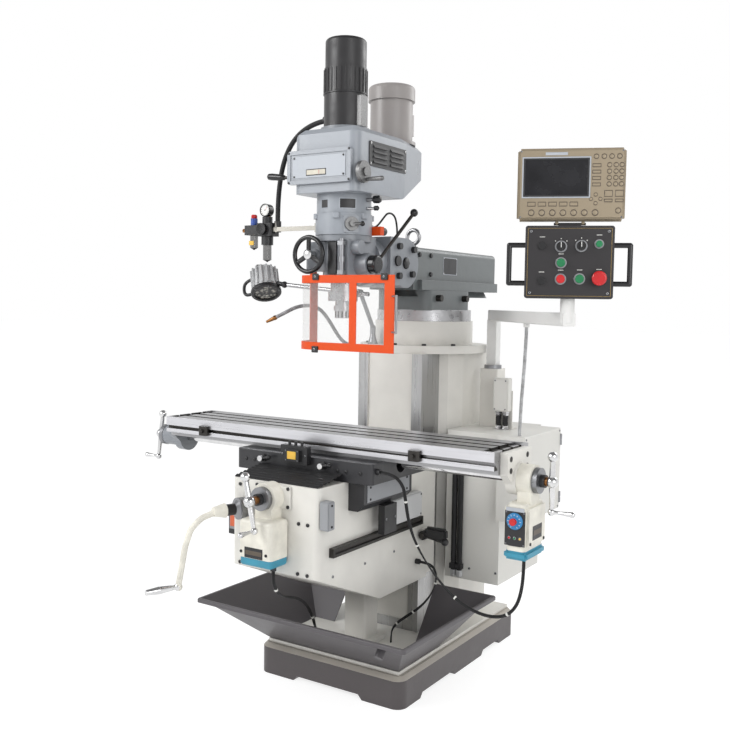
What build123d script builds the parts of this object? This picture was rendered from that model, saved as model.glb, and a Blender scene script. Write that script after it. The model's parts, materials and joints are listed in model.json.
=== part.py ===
from build123d import *
import math
import os

# A manual knee-type turret milling machine with power feeds on the table and the saddle.
# Millimetres; X runs to the operator's right, Y to the back, Z up; the origin is the middle of the base's underside.

# Clearances
SLIDE_GAP = 0.2
RUN_FIT = 0.06
SKIN_GAP = 0.3

# Base
BASE_WIDTH = 620
BASE_LENGTH = 930
BASE_HEIGHT = 112
BASE_WALL = 40
BASE_ROOF = 34
BASE_CORNER_R = 40
BASE_BEVEL = 14
FOOT_LIFT = 18
FOOT_SLANT = 16
FRONT_ARCH = 300
SIDE_ARCH_FRONT = 260
SIDE_ARCH_REAR = 165
MIDDLE_FOOT_Y = 41
MIDDLE_FOOT = 224
ANCHOR_X = 530
ANCHOR_Y = 840
ANCHOR_R = 9
ANCHOR_BOSS_R = 34

# Column
PLATFORM_HALF = 285
PLATFORM_FRONT = -440
PLATFORM_BACK = 445
PLATFORM_THICK = 12
WAY_HALF = 143
WAY_FRONT = -70
WAY_STRIP = 44
WAY_RELIEF = 6
WAY_SIDE_BACK = 65
BODY_HALF = 205
BODY_SHOULDER_Y = 150
BODY_BACK = 430
BODY_CORNER_R = 55
COLUMN_WALL = 30
FLANGE_Z = 1195
FLANGE_THICK = 30
FLANGE_R = 258
CAP_R = 198
CAP_HEIGHT = 93

# Chip tray
TRAY_HALF = 432
TRAY_FRONT = -662
TRAY_BACK = -7
TRAY_RIM_Z = 306
TRAY_FLOOR_HALF = 280
TRAY_FLOOR_FRONT = -436
TRAY_FLOOR_BACK = -150
TRAY_SHEET = 4
TRAY_RIM_WIDTH = 12
TRAY_RIM_HEIGHT = 14
DRAIN_X = 380
DRAIN_R = 15

# Knee, and the screw that lifts it
KNEE_HALF = 178
KNEE_FRONT = -776
KNEE_TOP = 800
KNEE_BELLY = 351
KNEE_BELLY_FRONT = -400
KNEE_NOSE = 507
KNEE_WALL = 24
KNEE_ROOF = 22
KNEE_EAR = 58
KNEE_FRONT_R = 22
LIFT_Y = -245
LIFT_SCREW_R = 19
LIFT_JOURNAL_R = 15
LIFT_SCREW_BOTTOM = 150
LIFT_BRIDGE_Z = 690
LIFT_BRIDGE_THICK = 40
LIFT_BRIDGE_DEPTH = 84
LIFT_PASS_R = 25
PEDESTAL_HALF = 48
PEDESTAL_FRONT = -291
PEDESTAL_BACK = -200
PEDESTAL_TOP = 560
PEDESTAL_FOOT = 26
PEDESTAL_FOOT_THICK = 18
LIFT_NUT_LENGTH = 60

# Saddle
SADDLE_HALF = 284
SADDLE_FRONT = -630
SADDLE_BACK = -266
SADDLE_HEIGHT = 68.6
SADDLE_CORNER_R = 16
SKIRT_THICK = 62
SKIRT_DROP = 98
SKIRT_FRONT = -606
SKIRT_BACK = -300
RAIL_NECK_HALF = 62
RAIL_TOP_HALF = 74
RAIL_HEIGHT = 24
TUNNEL_R = 30

# Table
TABLE_LENGTH = 1372
TABLE_WIDTH = 254
TABLE_THICK = 74
TABLE_Y = -448
TABLE_EDGE = 34
SLOT_PITCH = 63
SLOT_WIDTH = 16
SLOT_NECK = 16
SLOT_HEAD_WIDTH = 28
SLOT_HEAD_DEPTH = 12
DOG_SLOT_DROP = 38
DOG_SLOT_WIDTH = 12
DOG_SLOT_DEPTH = 12
POCKET_LENGTH = 34
POCKET_DEPTH = 9
UNDERCUT = 26

# Longitudinal screw and its power feed
X_SCREW_R = 14
X_SCREW_DROP = 20
BRACKET_THICK = 26
BRACKET_BOSS_R = 52
BRACKET_BOSS = 10
LEFT_HOUSING_R = 38
LEFT_HOUSING = 78
FEED_WIDTH = 132
FEED_DEPTH = 63
FEED_HEIGHT = 146
FEED_DROP = 66
FEED_TRAY = 28
FEED_CORNER_R = 14
FEED_NECK_R = 48
DIAL_R = 40
DIAL_THICK = 18
CRANK_UP = 78
CRANK_DOWN = 92
CRANK_BALL_R = 16
CRANK_SMALL_R = 12
CRANK_HUB_R = 19
CRANK_GRIP = 76

# Cross screw and its power feed
Y_SCREW_R = 13
Y_SCREW_Z = 758
Y_SCREW_BACK = -310
Y_NUT_Y = -560
Y_NUT_LENGTH = 44
Y_NUT_HALF = 25
Y_FEED_REACH = 52
Y_CRANK_Y = -896
Y_CRANK_TILT = 13

# Knee crank
Z_CRANK_X = -104
Z_CRANK_Z = 706
Z_CRANK_YAW = 20
Z_CRANK_LEAN = 15
Z_CRANK_RADIUS = 256
Z_DIAL_R = 36
Z_SHAFT_R = 12
Z_GRIP = 112
Z_GRIP_R = 13

# Turret, ram and knuckle
TURRET_Y = 190
TURRET_RING_R = 190
TURRET_RING = 44
TURRET_HALF = 120
TURRET_HEIGHT = 76
TURRET_LENGTH = 372
RAM_HALF = 98
RAM_HEIGHT = 162
RAM_FRONT = -70
RAM_BACK = 640
RAM_EDGE_R = 18
RAM_FLANGE_HALF = 116
RAM_FLANGE = 38
RAM_RAIL_NECK = 62
RAM_RAIL_TOP = 76
RAM_RAIL = 24
EYEBOLT_Y = 92
EYEBOLT_R = 27
EYEBOLT_ROD_R = 8
NOD_Y = -130
NOD_R = 92
NOD_PIN_R = 22
KNUCKLE_BOTTOM = 83
TILT_FACE_Y = -262
TILT_DISC_R = 88
TILT_DISC = 24

# Head
TILT_Z = 1535
SPINDLE_Y = -394
BARREL_R = 72
BARREL_DROP = 80
BARREL_TOP = 85
HEAD_DISC = 26
HEAD_CHEEK_HALF = 66
QUILL_R = 44
QUILL_NOSE_R = 52
QUILL_NOSE_Z = 1391
QUILL_NOSE = 33
SPINDLE_BORE_R = 12.06
SPINDLE_NOSE_R = 27
SPINDLE_NOSE = 60
SPINDLE_R = 20
SPINDLE_BORE = 90
GEAR_RING_R = 100
GEAR_RING = 73
GEAR_NECK_R = 96
GEAR_NECK = 67
BELT_HALF = 132
BELT_FRONT = -518
BELT_SHOULDER = -205
BELT_TAIL_HALF = 75
BELT_TAIL = 25
BELT_HEIGHT = 218
BELT_BEVEL = 18
BELT_SHOULDER_CUT = 38
BELT_TAIL_RISE = 104
BELT_CORNER_R = 30
BELT_WALL = 10
PANEL_PROUD = 13
PANEL_LEFT = -148
PANEL_RIGHT = 118
PANEL_LOW = 30
PANEL_HEIGHT = 115
VENT_FRONT = -442
VENT_LENGTH = 243
VENT_LOW = 92
VENT_HEIGHT = 84
VENT_SHEET = 3
MOTOR_Y = -87
MOTOR_R = 80
MOTOR_HEIGHT = 162
MOTOR_CAP_R = 88
MOTOR_CAP = 58
DRAWBAR_R = 75
DRAWBAR_BODY = 218
DRAWBAR_CAP_R = 72
DRAWBAR_CAP = 101
SPEED_CRANK_Y = -500
SPEED_CRANK_RISE = 62
SPEED_CRANK_R = 37
LEVER_Y = -400
LEVER_DROP = 16
LEVER_HUB_R = 32
LEVER_BALL = (196, -241, 1707)
WHEEL_X = -70
WHEEL_RISE = 16
WHEEL_R = 65
WHEEL_RIM_R = 5
WHEEL_Y = -500
RANGE_ANGLE = 49
RANGE_DIAL_R = 24

# Guard round the spindle
GUARD_FRONT = -530
GUARD_LOW = 1222
GUARD_HIGH = 1479
GUARD_LEFT_X = -130
GUARD_RIGHT_X = 296
GUARD_BEND_R = 100
GUARD_SHEET = 3
GUARD_BAR = 27
GUARD_POST_X = 119
GUARD_POST = 28
GUARD_END_POST = 38
GUARD_PIVOT_Y = -395
GUARD_PIVOT_R = 6

# Pendant with the readout
POST_X = 285
POST_Y = 250
POST_HALF = 38
POST_TOP = 1134
ARM_TUBE = 40
ARM_Z = 1323
ARM_HEIGHT = 42
PENDANT_X = 824
PENDANT_Y = -372
PENDANT_YAW = 22.4
STUB_R = 22
STUB_TOP = 1408
BOX_WIDTH = 264
BOX_HEIGHT = 220
BOX_DEPTH = 80
BOX_SHEET = 4
DRO_WIDTH = 322
DRO_HEIGHT = 220
DRO_DEPTH = 52
DRO_LIFT = 16
BUTTON_R = 13
HINGE_HALF = 34
HINGE_PIN_R = 4
HINGE_LUG_R = 6.5

# Lamp and coolant line
LAMP_FOOT = (-112, -20)
LAMP_FOOT_HEIGHT = 40
LAMP_KNEE = (-60, -190, 1422)
LAMP_WRIST = (-374, -250, 1452)
LAMP_ROD_R = 8
LAMP_CAN_R = 50
LAMP_CAN = 84

# Electrical boxes
CABINET_RIGHT = 430
CABINET_FRONT = 30
CABINET_BACK = 410
CABINET_LOW = 335
CABINET_HIGH = 905
CABINET_SHEET = 4
SIDE_RIGHT = 526
SIDE_FRONT = -5
SIDE_BACK = 345
SIDE_LOW = 590
SIDE_HIGH = 908
DOOR_THICK = 14

# Cords, from port to port at these sizes
COOLANT_ROUTE = [
    (-186, 10, 1211), (-216, -20, 1211), (-240, -57, 1236), (-249, -100, 1289), (-254, -135, 1328), (-259, -173, 1359),
    (-272, -219, 1375), (-300, -270, 1368), (-336, -298, 1343), (-368, -314, 1325),
]
COOLANT_R = 7
HOSE_ROUTE = [
    (-89.5, -394, 2028), (-126.6, -394, 2024.3), (-182, -394, 2004), (-224, -394, 1973), (-255, -394, 1931),
    (-275, -394, 1883), (-287, -394, 1831), (-294, -394, 1779), (-297, -394, 1719.5), (-297, -394, 1682.3),
]
HOSE_R = 9
X_FEED_ROUTE = [
    (735.8, -448, 594.7), (735.8, -448, 552.1), (731, -449, 495), (717, -450, 444), (685, -451, 406), (635, -451, 391),
    (579, -451, 395), (529, -453, 413), (485, -456, 441), (446, -461, 477), (409, -468, 522), (384, -478, 564),
    (370, -497, 609), (369, -522, 651), (373, -551, 703), (378, -575, 762), (378, -591, 809), (344.2, -600, 842),
    (298.3, -600, 842),
]
FEED_CABLE_R = 5.5
KNEE_SIDE_ROUTE = [
    (194.6, -150, 428), (228, -150, 428), (256, -152, 417), (271, -158, 390), (270, -167, 354), (257, -178, 318),
    (235, -188, 286), (207, -197, 258), (174, -206, 232), (142, -212, 206), (120, -216, 178), (115, -216, 148),
    (115, -216, 124.3),
]
KNEE_SIDE_R = 5
Y_FEED_ROUTE = [
    (40, -823.8, 527.7), (40, -823.8, 490), (43, -810, 455), (45, -776, 432), (44, -736, 419), (39, -692, 403),
    (29, -650, 380), (14, -609, 353), (-4, -569, 324), (-23, -530, 293), (-42, -493, 260), (-62, -457, 226),
    (-83, -422, 196), (-104, -392, 162), (-104, -392, 124.3),
]
PENDANT_ROUTE = [
    (560, -67, 1308.7), (560, -67, 1278), (553, -56, 1225), (546, -43, 1180), (536, -27, 1131), (527, -12, 1086),
    (517, 4, 1038), (510, 17, 992), (503, 28, 939), (503, 28, 908.3),
]
PENDANT_CABLE_R = 6
SWITCH_ROUTE = [
    (66, -311.7, 1655), (66, -293, 1655), (70, -272, 1670), (77, -250, 1696), (80, -233, 1711), (80, -203, 1713),
    (79, -178, 1702), (78, -165, 1679), (77.5, -158.8, 1648.3), (77.5, -158.8, 1627.3),
]
SWITCH_CABLE_R = 3.5

# Values that follow from the ones above
STAND = (Align.CENTER, Align.CENTER, Align.MIN)
PLATFORM_TOP = BASE_HEIGHT + PLATFORM_THICK
FLANGE_TOP = FLANGE_Z + FLANGE_THICK
CAP_TOP = FLANGE_TOP + CAP_HEIGHT
SADDLE_UNDER = KNEE_TOP + SLIDE_GAP
SADDLE_TOP = SADDLE_UNDER + SADDLE_HEIGHT
TABLE_UNDER = SADDLE_TOP + SLIDE_GAP
TABLE_TOP = TABLE_UNDER + TABLE_THICK
TABLE_HALF = TABLE_LENGTH / 2
TABLE_FRONT = TABLE_Y - TABLE_WIDTH / 2
TABLE_BACK = TABLE_Y + TABLE_WIDTH / 2
X_SCREW_Z = TABLE_UNDER - X_SCREW_DROP
BRACKET_X = TABLE_HALF + BRACKET_THICK
BOSS_X = BRACKET_X + BRACKET_BOSS
TURRET_UNDER = CAP_TOP + SLIDE_GAP
TURRET_RING_TOP = TURRET_UNDER + TURRET_RING
TURRET_TOP = TURRET_RING_TOP + TURRET_HEIGHT
RAM_UNDER = TURRET_TOP + SLIDE_GAP
RAM_TOP = RAM_UNDER + RAM_HEIGHT
BARREL_LOW = TILT_Z - BARREL_DROP
HEAD_TOP = TILT_Z + BARREL_TOP
GEAR_TOP = HEAD_TOP + GEAR_RING
BELT_LOW = GEAR_TOP + GEAR_NECK
BELT_TOP = BELT_LOW + BELT_HEIGHT
LEVER_Z = TILT_Z - LEVER_DROP
WHEEL_Z = TILT_Z + WHEEL_RISE
YAW = math.radians(PENDANT_YAW)
OUTWARD = Vector(math.sin(YAW), -math.cos(YAW), 0)
ALONG = Vector(math.cos(YAW), math.sin(YAW), 0)
BOX_LOW = STUB_TOP + SKIN_GAP
BOX_MID = BOX_LOW + BOX_HEIGHT / 2
DRO_LOW = BOX_LOW + BOX_HEIGHT + DRO_LIFT
DRO_MID = DRO_LOW + DRO_HEIGHT / 2
PANEL = Plane(origin=(PENDANT_X, PENDANT_Y, BOX_MID), x_dir=ALONG, z_dir=OUTWARD)
READOUT = Plane(origin=(PENDANT_X, PENDANT_Y, DRO_MID), x_dir=ALONG, z_dir=OUTWARD)


# Shapes used throughout
def block(x0, x1, y0, y1, z0, z1):
    return Pos((x0 + x1) / 2, (y0 + y1) / 2, (z0 + z1) / 2) * Box(x1 - x0, y1 - y0, z1 - z0)


def rounded(body, axis, radius):
    return fillet(body.edges().filter_by(axis), radius)


def rod(start, end, radius):
    run = Vector(*end) - Vector(*start)
    return Plane(origin=start, z_dir=run) * Cylinder(radius, run.length, align=STAND)


def taper(start, end, start_r, end_r):
    run = Vector(*end) - Vector(*start)
    return Plane(origin=start, z_dir=run) * Cone(start_r, end_r, run.length, align=STAND)


def disc(x, y, z0, z1, radius):
    return Pos(x, y, z0) * Cylinder(radius, z1 - z0, align=STAND)


def ball(centre, radius):
    return Pos(*centre) * Sphere(radius)


def across(outline, x0, x1):
    """A (y, z) outline pulled along X."""
    edge = Polyline(*[(x0, y, z) for y, z in outline], close=True)
    return extrude(make_face(edge), amount=x1 - x0, dir=(1, 0, 0))


def along(outline, y0, y1):
    """An (x, z) outline pulled along Y."""
    edge = Polyline(*[(x, y0, z) for x, z in outline], close=True)
    return extrude(make_face(edge), amount=y1 - y0, dir=(0, 1, 0))


def upright(outline, z0, z1):
    """An (x, y) outline pulled along Z."""
    edge = Polyline(*[(x, y, z0) for x, y in outline], close=True)
    return extrude(make_face(edge), amount=z1 - z0, dir=(0, 0, 1))


def mirrored(points):
    """A half outline on the right, closed by its mirror image on the left."""
    return points + [(-x, y) for x, y in reversed(points)]


def both_sides(piece):
    return piece + mirror(piece, about=Plane.YZ)


def cord(name, route, radius):
    """A round cord on straight runs joined by the widest arcs that the runs allow."""
    points = [Vector(*point) for point in route]
    radii = []
    for before, corner, after in zip(points, points[1:], points[2:]):
        turn = math.radians((corner - before).get_angle(after - corner))
        shorter = min((corner - before).length, (after - corner).length)
        radii.append(0.45 * shorter / math.tan(turn / 2))
    path = FilletPolyline(*points, radius=radii)
    section = Plane(origin=points[0], z_dir=points[1] - points[0]) * Circle(radius)
    tube = sweep(section, path=path)
    expected = math.pi * radius ** 2 * path.length
    in_diameters = [round(bend / (2 * radius), 1) for bend in radii]
    print(f"{name}: length {path.length:.0f}, volume ratio {tube.volume / expected:.4f}")
    print(f"  radii in diameters {in_diameters}")
    return tube


def node(name, *pieces):
    """One file for a sub-part, holding each of its solids."""
    solids = [solid for piece in pieces for solid in piece.solids()]
    export_step(Compound(solids), f"parts/{name}.step")


def ball_crank(arm_tilt):
    """A ball crank on the +X axis at the origin: long arm down to the grip, short arm up to the weight."""
    up_top = (0, 0, CRANK_UP)
    down_end = (0, 0, -CRANK_DOWN)
    crank = ball((0, 0, 0), CRANK_HUB_R)
    crank += taper((0, 0, 0), up_top, 10, 8)
    crank += ball(up_top, CRANK_BALL_R)
    crank += taper((0, 0, 0), down_end, 10, 7)
    crank += ball(down_end, CRANK_SMALL_R)
    waist = CRANK_GRIP * 0.3
    crank += taper(down_end, (waist, 0, -CRANK_DOWN), 7, 5)
    crank += taper((waist, 0, -CRANK_DOWN), (CRANK_GRIP - 9, 0, -CRANK_DOWN), 5, 9)
    crank += ball((CRANK_GRIP - 9, 0, -CRANK_DOWN), 9)
    crank -= rod((-CRANK_HUB_R, 0, 0), (0, 0, 0), 9)
    return Rot(arm_tilt, 0, 0) * crank


# Frame
def base_casting():
    half_w = BASE_WIDTH / 2
    half_l = BASE_LENGTH / 2
    body = rounded(block(-half_w, half_w, -half_l, half_l, 0, BASE_HEIGHT), Axis.Z, BASE_CORNER_R)
    body = chamfer(body.faces().sort_by(Axis.Z)[-1].edges(), BASE_BEVEL)
    inner_w = half_w - BASE_WALL
    inner_l = half_l - BASE_WALL
    pocket = block(-inner_w, inner_w, -inner_l, inner_l, 0, BASE_HEIGHT - BASE_ROOF)
    for x in (-ANCHOR_X / 2, ANCHOR_X / 2):
        for y in (-ANCHOR_Y / 2, ANCHOR_Y / 2):
            pocket -= disc(x, y, 0, BASE_HEIGHT, ANCHOR_BOSS_R)
            body -= disc(x, y, 0, BASE_HEIGHT, ANCHOR_R)
    body -= pocket
    half_arch = FRONT_ARCH / 2
    tip = half_arch - FOOT_SLANT
    body -= along([(-half_arch, 0), (half_arch, 0), (tip, FOOT_LIFT), (-tip, FOOT_LIFT)], -half_l, half_l)
    front_end = MIDDLE_FOOT_Y - MIDDLE_FOOT / 2
    rear_end = MIDDLE_FOOT_Y + MIDDLE_FOOT / 2
    for y0, y1 in ((front_end - SIDE_ARCH_FRONT, front_end), (rear_end, rear_end + SIDE_ARCH_REAR)):
        gap = [(y0, 0), (y1, 0), (y1 - FOOT_SLANT, FOOT_LIFT), (y0 + FOOT_SLANT, FOOT_LIFT)]
        body -= across(gap, -half_w, half_w)
    body -= disc(0, LIFT_Y, 0, BASE_HEIGHT, LIFT_PASS_R)
    return body


def column_plan(inset):
    """The column's plan, with its walls moved in by a distance."""
    shoulder = (WAY_HALF + BODY_HALF) / 2
    right = [
        (WAY_HALF - inset, WAY_FRONT + inset),
        (WAY_HALF - inset, WAY_SIDE_BACK + inset / 2),
        (shoulder - inset, WAY_SIDE_BACK + 15 + inset / 2),
        (BODY_HALF - inset, BODY_SHOULDER_Y + inset / 2),
        (BODY_HALF - inset, BODY_BACK - inset),
    ]
    return mirrored(right)


def column():
    body = upright(column_plan(0), BASE_HEIGHT, FLANGE_Z)
    rear_edges = body.edges().filter_by(Axis.Z).group_by(Axis.Y)[-1]
    body = fillet(rear_edges, BODY_CORNER_R)
    body += block(-PLATFORM_HALF, PLATFORM_HALF, PLATFORM_FRONT, PLATFORM_BACK, BASE_HEIGHT, PLATFORM_TOP)
    body += disc(0, TURRET_Y, FLANGE_Z, FLANGE_TOP, FLANGE_R)
    body += disc(0, TURRET_Y, FLANGE_TOP, CAP_TOP, CAP_R)
    relief = WAY_HALF - WAY_STRIP
    body -= block(-relief, relief, WAY_FRONT, WAY_FRONT + WAY_RELIEF, PLATFORM_TOP + 40, FLANGE_Z)
    body -= upright(column_plan(COLUMN_WALL), BASE_HEIGHT, FLANGE_Z - COLUMN_WALL)
    body -= disc(0, LIFT_Y, BASE_HEIGHT, PLATFORM_TOP, LIFT_PASS_R)
    return body


def tray_funnel(inset):
    low = Plane.XY.offset(PLATFORM_TOP)
    high = Plane.XY.offset(TRAY_RIM_Z)
    low_size = (2 * (TRAY_FLOOR_HALF - inset), TRAY_FLOOR_BACK - TRAY_FLOOR_FRONT - 2 * inset)
    high_size = (2 * (TRAY_HALF - inset), TRAY_BACK - TRAY_FRONT - 2 * inset)
    low_mid = Pos(0, (TRAY_FLOOR_FRONT + TRAY_FLOOR_BACK) / 2)
    high_mid = Pos(0, (TRAY_FRONT + TRAY_BACK) / 2)
    return loft([low * low_mid * Rectangle(*low_size), high * high_mid * Rectangle(*high_size)])


def chip_tray():
    tray = tray_funnel(0) - tray_funnel(TRAY_SHEET)
    out = TRAY_RIM_WIDTH - TRAY_SHEET
    rim = block(-TRAY_HALF - out, TRAY_HALF + out, TRAY_FRONT - out, TRAY_BACK + out,
                TRAY_RIM_Z - TRAY_RIM_HEIGHT, TRAY_RIM_Z)
    rim = rounded(rim, Axis.Z, TRAY_RIM_WIDTH)
    rim = fillet(rim.faces().sort_by(Axis.Z)[-1].edges(), TRAY_RIM_HEIGHT / 3)
    inner = TRAY_HALF - TRAY_SHEET
    rim -= block(-inner, inner, TRAY_FRONT + TRAY_SHEET, TRAY_BACK - TRAY_SHEET, 0, TRAY_RIM_Z)
    tray += rim
    slope = (TRAY_RIM_Z - PLATFORM_TOP) / (TRAY_FLOOR_FRONT - TRAY_FRONT)
    drain_y = TRAY_FRONT + 52
    drain_z = TRAY_RIM_Z - slope * (drain_y - TRAY_FRONT)
    tray += rod((DRAIN_X - 60, drain_y, drain_z + 2), (DRAIN_X - 60, drain_y - 20, drain_z - 22), DRAIN_R)
    tray -= tray_funnel(TRAY_SHEET)
    notch = KNEE_HALF + 8
    return tray - block(-notch, notch, TRAY_FLOOR_BACK - TRAY_SHEET - 2, TRAY_BACK + 2 * out, 0, TRAY_RIM_Z + 1)


def screw_pedestal():
    side = PEDESTAL_FOOT
    foot = block(-PEDESTAL_HALF - side, PEDESTAL_HALF + side, PEDESTAL_FRONT - side, PEDESTAL_BACK + side,
                 PLATFORM_TOP, PLATFORM_TOP + PEDESTAL_FOOT_THICK)
    foot = rounded(foot, Axis.Z, side)
    post = block(-PEDESTAL_HALF, PEDESTAL_HALF, PEDESTAL_FRONT, PEDESTAL_BACK, PLATFORM_TOP, PEDESTAL_TOP)
    post = rounded(post, Axis.Z, 10)
    post += foot
    post -= disc(0, LIFT_Y, PLATFORM_TOP, PEDESTAL_TOP - LIFT_NUT_LENGTH, LIFT_PASS_R)
    return post - disc(0, LIFT_Y, PLATFORM_TOP, PEDESTAL_TOP, LIFT_SCREW_R + RUN_FIT)


def lamp_foot():
    x, y = LAMP_FOOT
    foot = disc(x, y, FLANGE_TOP, FLANGE_TOP + 8, 20)
    return foot + taper((x, y, FLANGE_TOP + 8), (x, y, FLANGE_TOP + LAMP_FOOT_HEIGHT), 17, 10)


def pendant_post():
    post = block(POST_X - POST_HALF, POST_X + POST_HALF, POST_Y - POST_HALF, POST_Y + POST_HALF,
                 CABINET_HIGH, POST_TOP)
    post = rounded(post, Axis.Z, 6)
    collar = disc(POST_X, POST_Y, POST_TOP, POST_TOP + 14, ARM_TUBE * 0.85)
    bore = disc(POST_X, POST_Y, POST_TOP - 120, POST_TOP + 20, ARM_TUBE / 2 - 4 + RUN_FIT)
    return post + collar - bore


def conduit_bracket():
    x = POST_X + POST_HALF + 42
    y = POST_Y - 60
    plate = block(x - 34, x + 34, y, y + 5, CABINET_HIGH, CABINET_HIGH + 150)
    plate += block(x - 34, x + 34, y, y + 46, CABINET_HIGH, CABINET_HIGH + 5)
    for side in (-16, 16):
        gland_x = x + side
        plate += rod((gland_x, y, CABINET_HIGH + 118), (gland_x, y - 22, CABINET_HIGH + 118), 11)
        plate += rod((gland_x, y - 22, CABINET_HIGH + 118), (gland_x, y - 32, CABINET_HIGH + 118), 8)
    return plate


def sheet_box(x0, x1, y0, y1, z0, z1, open_left, open_right):
    """A sheet box with rounded upright edges, open on the sides that are asked for."""
    body = block(x0, x1, y0, y1, z0, z1)
    left = x0 - CABINET_SHEET if open_left else x0 + CABINET_SHEET
    right = x1 + CABINET_SHEET if open_right else x1 - CABINET_SHEET
    inner = (y0 + CABINET_SHEET, y1 - CABINET_SHEET, z0 + CABINET_SHEET, z1 - CABINET_SHEET)
    return body - block(left, right, *inner)


def electrical_cabinet():
    left = BODY_HALF + SKIN_GAP
    tall = sheet_box(left, CABINET_RIGHT, CABINET_FRONT, CABINET_BACK, CABINET_LOW, CABINET_HIGH, True, False)
    side = sheet_box(CABINET_RIGHT, SIDE_RIGHT, SIDE_FRONT, SIDE_BACK, SIDE_LOW, SIDE_HIGH, False, True)
    inner_x = CABINET_RIGHT + CABINET_SHEET
    rail_z = (SIDE_LOW + SIDE_HIGH) / 2
    rail = block(inner_x, inner_x + 8, SIDE_FRONT + 30, SIDE_BACK - 30, rail_z - 18, rail_z + 18)
    pieces = [tall, side, rail]
    for place in range(4):
        y = SIDE_FRONT + 45 + 68 * place
        contactor = block(inner_x + 8, inner_x + 62, y, y + 52, rail_z - 44, rail_z + 44)
        contactor += block(inner_x + 62, inner_x + 76, y + 6, y + 46, rail_z - 24, rail_z + 24)
        pieces.append(contactor)
    conduit_x = left + 42
    for shift in (0, 26):
        x = conduit_x + shift
        y = CABINET_FRONT - 12
        pieces.append(rod((x, y, CABINET_LOW + 20), (x, y, CABINET_HIGH - 60), 9))
        for z in (CABINET_LOW + 20, CABINET_HIGH - 100):
            clip = block(x - 12, x + 12, y - 12, CABINET_FRONT, z + 20, z + 40)
            pieces.append(clip - rod((x, y, z), (x, y, z + 60), 9))
    return pieces


def cabinet_door():
    left = SIDE_RIGHT + SLIDE_GAP
    door = block(left, left + DOOR_THICK, SIDE_FRONT, SIDE_BACK, SIDE_LOW, SIDE_HIGH)
    door = fillet(door.faces().sort_by(Axis.X)[-1].edges(), 5)
    lock_z = (SIDE_LOW + SIDE_HIGH) / 2
    lock = rod((left + DOOR_THICK, SIDE_FRONT + 24, lock_z), (left + DOOR_THICK + 7, SIDE_FRONT + 24, lock_z), 12)
    return door + lock


def coolant_gooseneck():
    line = cord("coolant_gooseneck", COOLANT_ROUTE, COOLANT_R)
    tip = COOLANT_ROUTE[-1]
    nozzle_end = tuple(2 * a - b for a, b in zip(tip, COOLANT_ROUTE[-2]))
    nozzle = taper(tip, nozzle_end, 9, 5)
    start = Vector(*COOLANT_ROUTE[0])
    leaving = (Vector(*COOLANT_ROUTE[1]) - start).normalized()
    socket = rod(start - leaving * 14, start, 12)
    socket -= disc(0, TURRET_Y, FLANGE_Z - 40, FLANGE_TOP + 40, FLANGE_R)
    return [line, nozzle, socket]


# Lamp
def lamp_lower_link():
    x, y = LAMP_FOOT
    low = (x, y, FLANGE_TOP + LAMP_FOOT_HEIGHT + SKIN_GAP)
    neck = (x, y, low[2] + 24)
    link = disc(x, y, low[2], neck[2], 11)
    link += rod(neck, LAMP_KNEE, LAMP_ROD_R)
    link += ball(neck, 11)
    hub = (LAMP_KNEE[0], LAMP_KNEE[1] + 12, LAMP_KNEE[2])
    return link - block(hub[0] - 60, hub[0] + 60, LAMP_KNEE[1] - 40, LAMP_KNEE[1] + SKIN_GAP, 1300, 1500)


def lamp_rod():
    x, y, z = LAMP_KNEE
    wrist = Vector(*LAMP_WRIST)
    start = Vector(x, y - 16, z)
    run = (wrist - start).normalized()
    tail = start - run * 44
    arm = rod(tail, (wrist - run * 12), LAMP_ROD_R)
    arm += rod((x, y - 32, z), (x, y, z), 15)
    arm += rod((x, y - 50, z), (x, y - 32, z), 11)
    return arm


def lamp_head():
    wrist = Vector(*LAMP_WRIST)
    aim = Vector(0.42, -0.36, -0.83).normalized()
    middle = wrist + Vector(-96, -4, 8)
    top = middle - aim * (LAMP_CAN * 0.55)
    front = middle + aim * (LAMP_CAN * 0.45)
    can = taper(top, front, LAMP_CAN_R * 0.8, LAMP_CAN_R)
    can += rod(front, (front + aim * 12), LAMP_CAN_R + 4)
    can -= rod((front + aim * 4), (front + aim * 14), LAMP_CAN_R - 6)
    can += rod((middle - aim * 8), (wrist + Vector(-2, 0, 0)), 9)
    can += ball((wrist + Vector(-2, 0, 0)), 13)
    grip_axis = aim.cross(Vector(0, 0, 1)).normalized()
    for place in (-1, 1):
        root = top + grip_axis * (24 * place)
        can += rod(root, (root - aim * 34), 5)
    bar_l = top + grip_axis * -24 - aim * 34
    bar_r = top + grip_axis * 24 - aim * 34
    can += rod(bar_l, bar_r, 5)
    can += ball(bar_l, 5) + ball(bar_r, 5)
    return can


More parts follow.
